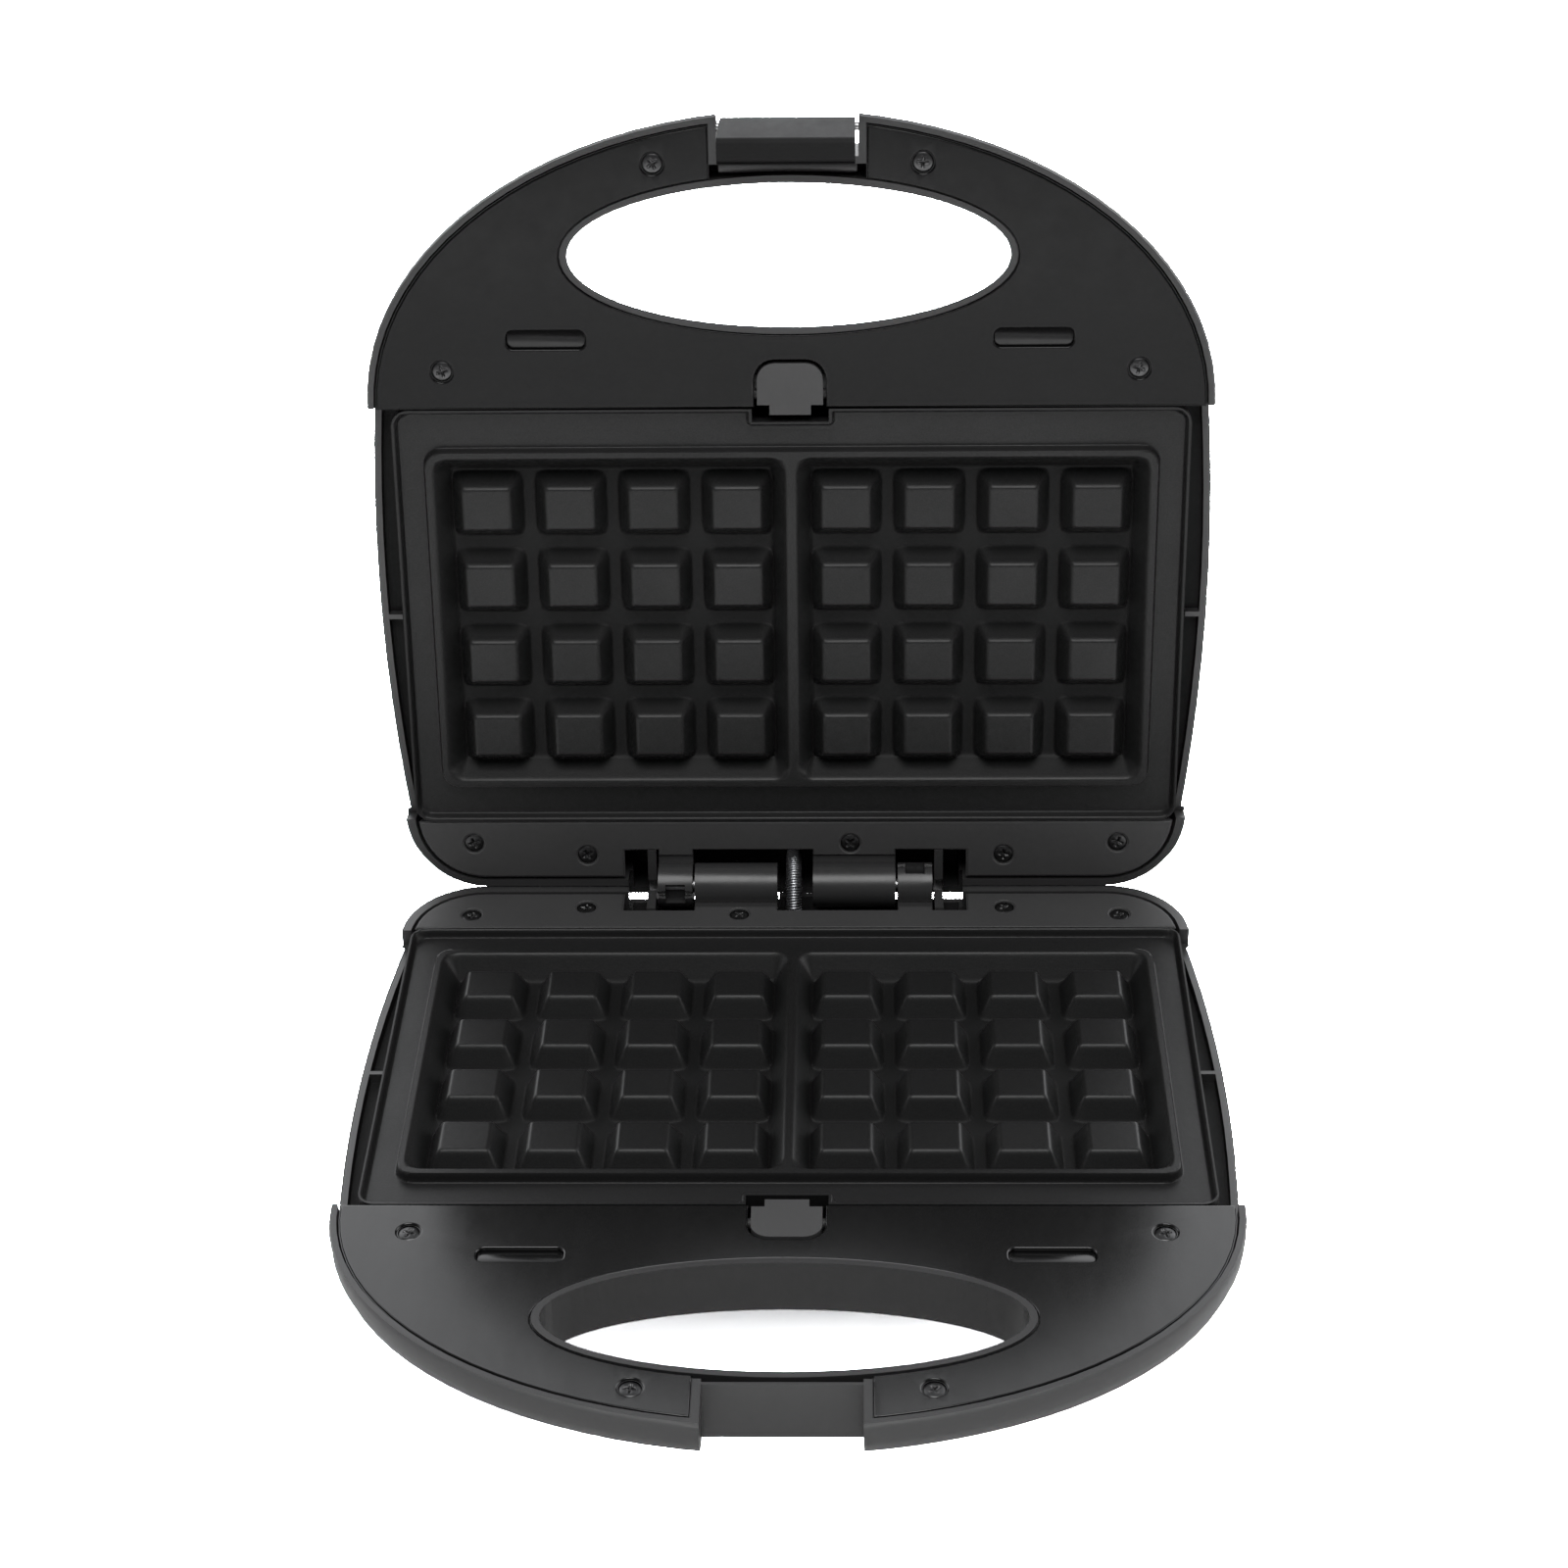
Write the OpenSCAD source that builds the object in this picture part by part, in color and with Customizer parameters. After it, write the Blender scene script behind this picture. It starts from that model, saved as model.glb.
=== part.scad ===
// Two-slice waffle maker, shown standing on its feet with the lid open.
// Each half is modelled in its own frame: X across, Y to the rear, Z up, with the parting plane at
// Z = 0, the middle of the waffle plate at X = Y = 0, and the half hanging below Z = 0.
// The base is one such half. The lid is a second one, turned over and opened about the hinge.

/* [Placing] */
// Angle between the closed and the open lid, in degrees
open_angle = 97.4; // [80:0.2:97.4]
// How far the middle of the plate stands behind the middle of the open waffle maker
plate_back = 4; // [2:0.5:6]

/* [Body] */
// Half of the body's greatest width
body_half_w = 122; // [121.5:0.1:124]
// How far in front of the plate's middle the body is widest
widest_fwd = 15.5; // [10:0.5:20]
// Radius of the bowed side walls seen from above
side_r = 600; // [560:10:900]
// Distance from the plate's middle back to the rear wall
rear_y = 85.5; // [85.5:0.1:87]
// Radius of the rear corners seen from above
rear_r = 23; // [20:0.5:24]
// Depth of one half below the parting plane
body_h = 42; // [41:0.5:46]
// How far the underside is drawn in from the rim
body_tuck = 15; // [13:0.5:16]
// Thickness of the shells
wall = 2.1; // [1.8:0.1:2.4]
// Depth of the side walls' edge below the parting plane
side_rim_z = 7; // [6:0.25:8]
// Depth of the shell's edge beside the hinge strip
strip_rim_z = 1.9; // [1.7:0.1:2.1]
// How far the rim beside the hinge strip stands outside the side walls
strip_bump = 0.7; // [0.3:0.1:1]
// How far the base's rim stands behind its rear wall, under the open lid's edge
rear_lip = 1.3; // [0.9:0.1:1.3]
// Depth of the side channels' floor below the parting plane
channel_z = 10; // [9:0.5:14]
// Thickness of the cross ribs in the side channels
side_rib_t = 1.5; // [1:0.1:2.5]

/* [Handle] */
// Distance from the plate's middle forward to the back edge of the handle
handle_fwd = 66.7; // [66.5:0.1:67.2]
// How far the handle stands outside the side walls
handle_step = 1.1; // [0.6:0.1:1.6]
// Length of the half ellipse that forms the handle
handle_len = 84.8; // [84.5:0.1:88]
// Depth of the handle below the parting plane
handle_h = 16.4; // [16:0.1:17.5]
// How far the handle's underside is drawn in from its edge
handle_tuck = 11; // [9:0.5:12]
// Depth of the handle's rim below the parting plane
handle_rim_z = 0.6; // [0.5:0.05:0.7]
// Distance from the plate's middle forward to the centre of the grip opening
grip_fwd = 110.9; // [110.4:0.1:111.4]
// Half length of the grip opening
grip_a = 61.9; // [58:0.1:63]
// Half width of the grip opening
grip_b = 20.5; // [18:0.1:20.8]
// How much the lid's grip opening widens towards the body on its outer side
grip_flare = 8; // [4:0.5:9]

/* [Panels] */
// Thickness of the handle panels and hinge strips
panel_t = 2.4; // [2:0.1:3]
// Depth of the handle panel's face below the parting plane
panel_z = 0.9; // [0.8:0.05:1.1]
// Gap between the handle panel and the rim around it
panel_gap = 0.8; // [0.4:0.1:1.2]
// Depth of the hinge strip's face below the parting plane
strip_z = 1.6; // [1.5:0.05:2]
// Gap between the hinge strip and the rim around it
strip_gap = 1.3; // [0.5:0.1:1.5]
// Distance from the plate's middle back to the hinge strip's front edge
strip_y = 64; // [63.8:0.1:64.5]
// Half length of the finger pockets' outline
pocket_l = 11.3; // [9:0.1:12]
// Half width of the finger pockets
pocket_w = 2.75; // [2.2:0.05:3]
// Depth of the finger pockets
pocket_d = 2.4; // [1.8:0.1:3]

/* [Hinge] */
// How far the hinge axis lies in front of the rear wall
hinge_inset = 1.2; // [1:0.1:1.4]
// Radius of the hinge barrels
barrel_r = 6.75; // [6.5:0.05:6.8]
// Diameter of the hinge pins
pin_d = 4; // [3:0.1:4.5]
// Radial clearance of every running fit
fit_gap = 0.05; // [0.02:0.01:0.09]
// Inner end of the hinge barrel, from the middle
barrel_in = 5.4; // [5.2:0.1:6]
// Outer end of the hinge barrel
barrel_out = 30.3; // [28:0.1:30.4]
// Inner end of the hinge knuckle
knuckle_in = 31; // [30.9:0.1:32]
// Outer end of the hinge knuckle
knuckle_out = 41.4; // [40:0.1:41.5]
// How far the hinge cut-out reaches in front of the hinge axis
hinge_cut_fwd = 11.1; // [10.5:0.1:12]
// Half width of the hinge cut-out
hinge_half_w = 52; // [48:0.5:54]
// Depth of the hinge cut-out's edge in the rear wall
hinge_cut_z = 10.2; // [10:0.1:11]
// How far the hinge housing's outer face lies behind the hinge axis
housing_back = 7.7; // [7:0.1:7.8]
// Depth of the hinge housing's underside
housing_h = 30; // [26:0.5:34]
// Depth of the cheeks' upper edge below the parting plane
cheek_z = 1; // [1:0.1:1.6]
// Depth of the cheeks' sloping edge where it meets the rear wall
cheek_low_z = 7.2; // [7.1:0.1:8]
// Width of the window in a knuckle
window_w = 5.9; // [4:0.1:6.5]
// Length of the window in a knuckle
window_l = 6.1; // [5:0.1:7]
// Thickness of the cheeks beside the knuckles
cheek_t = 2.6; // [2:0.1:3]
// Distance from the middle to the inner face of a cheek
cheek_x = 42.1; // [42:0.1:44]
// How far a hinge strip reaches past the cut-out's edge at its own barrel and knuckle
strip_tab_l = 1.9; // [1:0.1:2]
// Depth of the top of the webs in front of the barrels and knuckles
web_z = 2.2; // [2:0.1:2.6]
// Thickness of those webs
web_t = 3; // [2:0.1:4]
// Height of the light stop behind the lead, above the cut-out's edge
stop_h = 2.2; // [1.5:0.1:2.2]

/* [Waffle plates] */
// Distance between block centres across
pitch_x = 24.2; // [23.8:0.05:24.3]
// Distance between block centres front to back
pitch_y = 23.85; // [23.5:0.05:24]
// Distance between the two block columns nearest the middle
middle_x = 31.4; // [31:0.1:32]
// Width of a block's top
block_w = 13.54; // [12:0.02:14]
// Length of a block's top
block_l = 12.5; // [11:0.1:13]
// Draft of a block on each side
block_draft = 3.6; // [3:0.1:4]
// Depth of the block tops below the parting plane
block_z = 1.9; // [1.6:0.1:2.4]
// Depth of the waffle moulds' floor below the block tops
mould_h = 6.5; // [5.5:0.1:7]
// Thickness of the cast plates
plate_t = 2.5; // [2:0.1:2.8]
// Half width of the plate over its outer lip
plate_half_w = 114.3; // [113:0.1:114.4]
// Distance from the plate's middle forward to its front lip
plate_fwd = 64; // [63:0.1:64.1]
// Distance from the plate's middle back to its rear lip
plate_rear = 62; // [61:0.1:62.2]
// Corner radius of the plate
plate_r = 5; // [3:0.5:8]
// Width of the plate's outer lip
lip_t = 1; // [0.8:0.1:1.5]
// Depth of the outer lip's edge below the parting plane
lip_z = 1.25; // [1.1:0.05:1.6]
// Depth of the plate's flange below the parting plane
flange_z = 3.8; // [3.4:0.1:4.2]
// Thickness of the plate's flange
flange_t = 2; // [1.5:0.1:2.4]
// Half width of the raised sealing ridge
ridge_half_w = 105.6; // [105:0.1:107]
// Distance from the plate's middle forward to the ridge's front edge
ridge_fwd = 53.7; // [53:0.1:54.5]
// Distance from the plate's middle back to the ridge's rear edge
ridge_rear = 52.1; // [51.5:0.1:53]
// Depth of the ridge's top below the parting plane
ridge_z = 0.9; // [0.7:0.05:1.2]
// Width of the ridge's top
ridge_t = 2.2; // [1.5:0.1:2.6]
// Half width of the notch in the front lip
notch_half_w = 11; // [10:0.5:13]
// Depth of the notch in the front lip
notch_d = 1.8; // [1.2:0.1:2]

/* [Plate release] */
// Half width of the release button
button_half_w = 9.4; // [8:0.1:10]
// Distance from the handle's back edge to the button's far end
button_l = 12.9; // [11:0.1:14]
// Radius of the button's outer corners
button_r = 5; // [3:0.5:6]
// Gap around the button
button_gap = 0.9; // [0.8:0.1:1.2]
// Half width of the button's tongue
tongue_half_w = 5.9; // [4:0.1:7]
// Gap between the tongue and the plate's front lip
tongue_gap = 0.4; // [0.3:0.1:1]
// Depth of the button's pivot below the parting plane
button_pivot_z = 5; // [4.9:0.1:6]
// Diameter of the button's pivot studs
stud_d = 3; // [2:0.1:3.2]

/* [Latch] */
// Half width of the latch clip
clip_half_w = 18.7; // [16:0.1:19.2]
// Half width of the notch in the lid's handle
lid_notch_half_w = 19.6; // [19.5:0.1:20.4]
// Half width of the recess in the base's handle
base_notch_half_w = 20; // [19.8:0.1:21]
// Distance from the handle's front edge back to the latch clip's pin
clip_inset = 5.6; // [5.2:0.1:5.8]
// Depth of the latch clip's pin below the parting plane
clip_pin_z = 5.5; // [5.3:0.1:6]
// Diameter of the latch clip's pin
clip_pin_d = 2.4; // [2:0.1:2.6]
// Radius of the latch clip's eye
clip_eye_r = 2.6; // [2.4:0.1:2.7]
// Thickness of the latch clip
clip_t = 2.3; // [1.8:0.1:2.4]
// How far the clip's hook turns in
hook_l = 7; // [6:0.1:7.4]
// Thickness of the clip's hook
hook_t = 1.7; // [1.4:0.1:2.2]
// How far the hook's inner face lies beyond the base handle's underside before it swings in
hook_reach = 2.2; // [2.1:0.1:2.6]
// Distance from the handle's front edge back to the keeper face's upper edge
keeper_inset = 15.4; // [15.1:0.1:15.9]
// How far the keeper face leans forward at its lower edge
keeper_lean = 1.8; // [1.5:0.1:2.2]
// Thickness of the keeper's upper edge
keeper_t = 0.9; // [0.6:0.1:1.5]
// Distance from the latch clip's pin back to the rib behind the clip
clip_room = 7.2; // [6.6:0.1:7.8]
// Thickness of the rib behind the latch clip
clip_rib_t = 2.2; // [1.6:0.1:2.6]
// Depth of the slot behind the keeper and the rib
latch_slot_z = 8; // [5:0.5:12]

/* [Heating] */
// Diameter of the heating elements
element_d = 6.5; // [5:0.1:7]
// Half width of the heating element's loop
loop_half_w = 70; // [60:1:76]
// Half length of the heating element's loop
loop_half_l = 34; // [28:1:38]
// Radius of the heating element's bends
loop_r = 18; // [12:1:22]
// Gap between the plate's underside and the element
element_gap = 0.3; // [0.2:0.1:1]
// Distance from the middle to the element's ends
ends_x = 30; // [26:1:34]
// Half width of the reflector
reflector_half_w = 98; // [90:1:100]
// Half length of the reflector
reflector_half_l = 49; // [44:1:50]
// Thickness of the reflector's sheet
sheet_t = 0.8; // [0.5:0.1:1.2]
// Gap between the element and the reflector's floor
reflector_gap = 2.2; // [1.5:0.1:3]

/* [Screws and feet] */
// Diameter of the panel screws' heads
head_d = 5.8; // [5:0.1:6.4]
// Height of the panel screws' heads
head_h = 1.1; // [0.8:0.1:1.3]
// Diameter of the panel screws' shanks
shank_d = 2.9; // [2.4:0.1:3.2]
// Length of the panel screws' shanks
shank_l = 9; // [7:0.5:11]
// Radial clearance around the screws' heads and shanks in the pieces they hold
screw_gap = 0.3; // [0.2:0.05:0.4]
// Distance from the body's widest side to the outer panel screws
panel_screw_in = 23.2; // [22:0.1:25]
// Distance from the body's widest side to the outer strip screws
strip_screw_in = 24.7; // [23:0.1:26]
// Distance between the outer and the inner strip screws
strip_screw_pitch = 34.3; // [32:0.1:35]
// Distance from the middle to the front panel screws, across
front_screw_x = 37.4; // [36:0.1:39]
// Diameter of the bosses that take the screws
boss_d = 7; // [6.4:0.1:7.4]
// Diameter of the rubber feet
foot_d = 16; // [12:0.5:18]
// Height of the feet under the base
foot_h = 3; // [2:0.5:5]
// Distance from the body's widest side to the feet, across
foot_inset = 38; // [34:1:44]
// Distance from the plate's middle to the feet, front to back
foot_y = 45; // [44:0.5:47]

/* [Wiring] */
// Diameter of the power cord that the gland takes
cord_d = 6.8; // [5:0.1:7.5]
// Distance from the middle to the cord gland
gland_x = 75; // [70:1:80]
// Depth of the cord gland's centre below the parting plane
gland_z = 22; // [20:0.5:24]
// Outer diameter of the spring that guards the lead between the halves
guard_d = 5; // [4.4:0.1:5.4]
// Diameter of the lead between the halves
lead_d = 3.2; // [2.6:0.1:3.4]
// Radius of the lead's bend at the hinge
guard_r = 16; // [15.5:0.1:16.5]
// Diameter of the indicator lenses
lens_d = 6; // [5:0.1:8]
// Distance between the indicator lenses
lens_pitch = 22; // [16:1:40]
// Distance from the plate's middle forward to the lenses
lens_fwd = 34; // [26:1:40]

/* [Hidden] */
$fn = 48;

// Overlap of joined or cut solids, reach of cutting solids, and gap between parts at rest
eps = 0.01;
far = 200;
rest_gap = 0.3;
side_steps = 10;
corner_steps = 10;
handle_steps = 44;
grip_steps = 64;

abs_black = "#1c1c1d";
abs_grey = "#2b2b2c";
cast_black = "#242425";
steel = "#b9bcc0";
alu = "#cfd2d4";

// Levels of the outer surfaces: share of the depth, share of the draw-in
body_levels = [[0, 0], [0.55, 0.1], [0.775, 0.2], [0.915, 0.4], [0.98, 0.7], [1, 1]];
base_levels = [[0, 0.045], [0.09, 0], [0.405, 0.027], [0.66, 0.165], [0.85, 0.455], [1, 1]];
lid_levels = [[0, 0.045], [0.09, 0], [0.405, 0.21], [0.66, 0.42], [0.85, 0.68], [1, 1]];

hinge_y = rear_y - hinge_inset;
handle_end = handle_fwd + handle_len;
clip_fwd = handle_end - clip_inset;
clip_rib_fwd = clip_fwd - clip_room;
keeper_top_fwd = handle_end - keeper_inset;
keeper_low_fwd = keeper_top_fwd + keeper_lean;
foot_x = body_half_w - foot_inset;
channel_x = plate_half_w - 2.7;
corner_y = rear_y - rear_r;
corner_x = body_half_w - side_r + sqrt(pow(side_r - rear_r, 2) - pow(corner_y + widest_fwd, 2));
corner_a = asin((corner_y + widest_fwd) / (side_r - rear_r));
corner_end_y = corner_y + rear_r * sin(corner_a);
side_step_y = strip_y - wall / 2;
handle_a = side_x(-handle_fwd) + handle_step;
body_front = -handle_fwd - 2;
part_z = body_h + foot_h;
panel_under = -panel_z - panel_t;
strip_under = -strip_z - panel_t;
mould_z = -block_z - mould_h;
plate_under = mould_z - plate_t;
element_z = plate_under - element_gap - element_d / 2;
reflector_z = element_z - element_d / 2 - reflector_gap;
body_floor = -body_h + wall;
handle_floor = -handle_h + wall;
strip_cut_y = hinge_y - hinge_cut_fwd;
rear_cut_half_w = hinge_half_w - 1.2;
axis_room = 1.3;
eye_spans = [[-barrel_out, -barrel_in], [knuckle_in, knuckle_out]];
grip_rim = wall;
button_fwd = handle_fwd + 2 * rest_gap;
button_end = handle_fwd + button_l;
button_pivot_fwd = button_fwd + 2.2;
head_sink = head_h + rest_gap;
open_h = 5;
spring_fwd = button_end - 3.6;
spring_seat_z = handle_floor + wall;
gland_r = cord_d / 2 + wall;
gland_flange_r = gland_r + 2.5;
pad_in = 0.4;
foot_peg_r = foot_d / 6;
pocket_t = 1.2;
pocket_x = 68.9;
pocket_fwd = 86.75;
ear_t = 3;
ear_l = 5.2;
ear_x = button_half_w + button_gap + ear_t / 2;
button_cap_t = 3.4;
tongue_t = 2.2;
end_r = 8;
element_end_y = 56;
clip_y = 12;
clip_l = 8;
terminal_w = 12;
terminal_l = 16;
lens_out = 0.6;
lens_t = 1;
lens_h = 9;
thermostat_r = 8;
thermostat_h = 6;
tag_t = 0.8;
tag_l = 8;
fuse_r = 2;
fuse_l = 18;
fuse_lead_l = 5;
guard_x = -0.5;
guard_start = 4.5;
guard_low = 12.5;
guard_tail = 5;
guard_play = 0.3;
lead_turn = 8;
lead_tail = 4;
lead_low_z = -30;
lid_run = 2.7;

// Where the lead ends in the lid, from the hinge axis: in the room, then in the lid's own frame
lid_end_y = guard_r - guard_start + lid_run + lead_turn;
lid_end_fwd = 18.5;
lid_end_z = (lid_end_fwd + cos(open_angle) * lid_end_y) / sin(open_angle) - rest_gap;
lid_end_depth = sin(open_angle) * lid_end_y + cos(open_angle) * lid_end_z;

// Screw places: distance from the middle, distance to the rear
function both_sides(x, y) = [[x, y], [-x, y]];
panel_screws = concat(
    both_sides(body_half_w - panel_screw_in, -handle_fwd - 10.9),
    both_sides(front_screw_x, 14.7 - handle_end)
);
strip_screws = concat(
    both_sides(body_half_w - strip_screw_in, rear_y - 14.5),
    both_sides(body_half_w - strip_screw_in - strip_screw_pitch, rear_y - 10.5),
    [[-16.7, rear_y - 14.3]]
);
reflector_screws = concat(
    both_sides(reflector_half_w - 8, reflector_half_l - 17),
    both_sides(reflector_half_w - 8, 17 - reflector_half_l)
);
seats = concat(both_sides(plate_half_w - 6.3, 50), both_sides(plate_half_w - 6.3, -50));

function side_x(y) = body_half_w - side_r + sqrt(side_r * side_r - pow(y + widest_fwd, 2));
function mirrored(points) = [for (i = [len(points) - 1:-1:0]) [-points[i][0], points[i][1]]];

// Right half of the body's outline, drawn in by d: a shallow side curve, then a corner arc tangent to it
function body_side(d, front_y, steps) = concat(
    [for (i = [0:steps - 1])
        let (y = front_y + (corner_end_y - front_y) * i / steps) [side_x(y) - d, y]],
    [for (i = [0:corner_steps]) let (a = corner_a + (90 - corner_a) * i / corner_steps)
        [corner_x + (rear_r - d) * cos(a), corner_y + (rear_r - d) * sin(a)]]
);
function body_outline(d, front_y, steps = side_steps) =
    concat(body_side(d, front_y, steps), mirrored(body_side(d, front_y, steps)));

// Half ellipse of the handle, drawn in by d, closed by a straight back edge
function handle_outline(d, back_y, back_x) = concat(
    [for (i = [0:handle_steps]) let (a = 180 + 180 * i / handle_steps)
        [(handle_a - d) * cos(a), -handle_fwd + (handle_len - d) * sin(a)]],
    [[back_x, back_y], [-back_x, back_y]]
);
function grip_outline(grow, flare) = [for (i = [0:grip_steps - 1])
    let (a = 360 * i / grip_steps)
    [(grip_a + grow + flare / 4) * cos(a),
     -grip_fwd + flare / 2 + (grip_b + grow + flare / 2) * sin(a)]];

// Solid through a stack of outlines with equal numbers of points, from the top one down
module loft(rings) {
    n = len(rings[0][0]);
    last = len(rings) - 1;
    points = [for (ring = rings) for (p = ring[0]) [p[0], p[1], ring[1]]];
    sides = [for (k = [0:last - 1]) for (i = [0:n - 1]) let (j = (i + 1) % n)
        each [[k * n + i, k * n + j, (k + 1) * n + j],
              [k * n + i, (k + 1) * n + j, (k + 1) * n + i]]];
    lids = [[for (i = [n - 1:-1:0]) i], [for (i = [0:n - 1]) last * n + i]];
    polyhedron(points, concat(lids, sides));
}

// The void inside a shell follows its outer surface, one wall thickness in, and is open at the top
module body_solid(inner) {
    shift = inner ? wall : 0;
    open_top = inner ? [[body_outline(wall, body_front + wall), open_h]] : [];
    loft(concat(open_top, [for (level = body_levels) let (
        d = body_tuck * level[1] + shift,
        z = -strip_rim_z - level[0] * (body_h - strip_rim_z - shift)
    ) [body_outline(d, body_front + d), z]]));
}

module handle_solid(levels, inner) {
    shift = inner ? wall : 0;
    back_y = inner ? body_front + 4 * wall : -handle_fwd;
    function ring(d) = handle_outline(d, back_y, handle_a - d - (inner ? 3 * handle_step : 0));
    open_top = inner ? [[ring(wall), open_h]] : [];
    loft(concat(open_top, [for (level = levels) let (
        d = handle_tuck * (inner && level[0] < 0.1 ? 0 : level[1]) + shift,
        z = -handle_rim_z - level[0] * (handle_h - handle_rim_z - shift)
    ) [ring(d), z]]));
}

// Slightly proud rim beside the hinge strip, standing out by one amount at the sides and
// another at the rear
module rim_bump(at_rear) {
    front_y = corner_y - 1;
    function right(d) = concat(
        [for (y = [front_y, (front_y + corner_end_y) / 2]) [side_x(y) - d, y]],
        [for (i = [0:corner_steps]) let (
            a = corner_a + (90 - corner_a) * i / corner_steps,
            r = rear_r - d * pow(cos(a), 2) + (d < 0 ? at_rear : -wall / 2) * pow(sin(a), 2)
        ) [corner_x + r * cos(a), corner_y + r * sin(a)]]
    );
    function ring(d) = concat(right(d), mirrored(right(d)));
    loft([
        [ring(-strip_bump), -strip_rim_z],
        [ring(-strip_bump), -side_rim_z],
        [ring(wall / 2), -side_rim_z - 2 * strip_bump]
    ]);
}

// Housing behind the hinge, as a block or as the hollow inside it
module housing(inner) {
    shift = inner ? wall : 0;
    translate([shift - hinge_half_w, strip_cut_y, shift - housing_h])
        cube([2 * (hinge_half_w - shift), hinge_cut_fwd + housing_back - shift,
              housing_h - hinge_cut_z + (inner ? open_h : 0)]);
}

module shell_void(levels) {
    body_solid(true);
    handle_solid(levels, true);
    housing(true);
}

// Upright posts from the floor to a level, hollowed for a screw
module posts(places, d, top, bottom) {
    for (p = places)
        translate([p[0], p[1], bottom]) cylinder(d = d, h = top - bottom);
}

module pilots(places, d, top, depth) {
    for (p = places)
        translate([p[0], p[1], top - depth]) cylinder(d = d, h = depth + eps);
}

module screws(places, top) {
    arm = head_d * 0.6;
    slot = head_d * 0.14;
    for (p = places) translate([p[0], p[1], top - head_h]) difference() {
        union() {
            cylinder(d = head_d, h = head_h);
            translate([0, 0, -shank_l]) cylinder(d = shank_d, h = shank_l + eps);
        }
        for (a = [0, 90]) rotate([0, 0, a + 20])
            translate([-arm / 2, -slot / 2, head_h / 2]) cube([arm, slot, head_h]);
    }
}

// Keeper face and the walls around the latch notch, seen as a block before the notch is cut
module notch_block(half_w, top_fwd) {
    translate([-half_w - wall, -far, -far]) cube([2 * (half_w + wall), far - top_fwd + wall, far]);
}

module notch_cut(half_w, top_fwd, low_fwd) {
    rotate([90, 0, 90]) translate([0, 0, -half_w]) linear_extrude(2 * half_w) polygon([
        [-top_fwd, far], [-top_fwd, -handle_rim_z], [-low_fwd, -handle_h], [-low_fwd, -far],
        [-far, -far], [-far, far]
    ]);
}

// Upright plates beside the knuckles, their upper edge level and then sloping to the rear wall
module cheeks() {
    back = housing_back - wall;
    for (x = [-cheek_x - cheek_t, cheek_x]) translate([x, hinge_y, 0]) rotate([90, 0, 90])
        linear_extrude(cheek_t) polygon([
            [-hinge_cut_fwd, wall / 2 - housing_h], [back + wall / 2, wall / 2 - housing_h],
            [back + wall / 2, -hinge_cut_z - wall / 2], [back, -cheek_low_z],
            [-axis_room, -cheek_z], [-hinge_cut_fwd, -cheek_z]
        ]);
}

// Closed floor and inner wall of the channels beside the plate
module side_channels() {
    length = handle_fwd + strip_y;
    for (side = [-1, 1]) {
        translate([side * (channel_x + far / 2) - far / 2 - (side > 0 ? wall : 0), -handle_fwd,
            -channel_z - wall]) cube([far + wall, length, wall]);
        translate([side * (channel_x - wall / 2) - wall / 2, -handle_fwd, -channel_z - wall])
            cube([wall, length, channel_z + wall - flange_z - flange_t]);
    }
}

module side_ribs() {
    for (side = [-1, 1]) translate([side * (plate_half_w + far / 2 + 1) - far / 2,
        -side_rib_t, -far])
        cube([far, side_rib_t, far - side_rim_z]);
}

// Barrel and knuckle, each carried by an arm from the rear housing
module hinge_eyes() {
    for (span = eye_spans) {
        translate([span[0], hinge_y, 0]) rotate([0, 90, 0])
            cylinder(r = barrel_r, h = span[1] - span[0]);
        translate([span[0], strip_cut_y + strip_tab_l + rest_gap, -web_z - web_t])
            cube([span[1] - span[0], hinge_cut_fwd - strip_tab_l - rest_gap - barrel_r / 2, web_t]);
        translate([span[0], hinge_y - barrel_r / 2, wall / 2 - housing_h])
            cube([span[1] - span[0], barrel_r / 2 + barrel_r - 0.1, housing_h - wall / 2]);
    }
}

module hinge_bores() {
    for (span = eye_spans)
        translate([span[0] - eps, hinge_y, 0]) rotate([0, 90, 0])
            cylinder(r = pin_d / 2 + fit_gap, h = span[1] - span[0] + 2 * eps);
    translate([(knuckle_in + knuckle_out - window_w) / 2, hinge_y - window_l / 2, pin_d / 2])
        cube([window_w, window_l, barrel_r]);
}

// Block that stands up from the housing's rear wall behind the lead
module light_stop() {
    half_w = barrel_in - 0.2;
    translate([-half_w, hinge_y + housing_back - wall, -hinge_cut_z - wall])
        cube([2 * half_w, wall, wall + stop_h]);
}

module gland_pad() {
    translate([gland_x, rear_y - pad_in, -gland_z]) rotate([90, 0, 0])
        cylinder(r = gland_flange_r + 1, h = 2 * wall);
}

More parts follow.
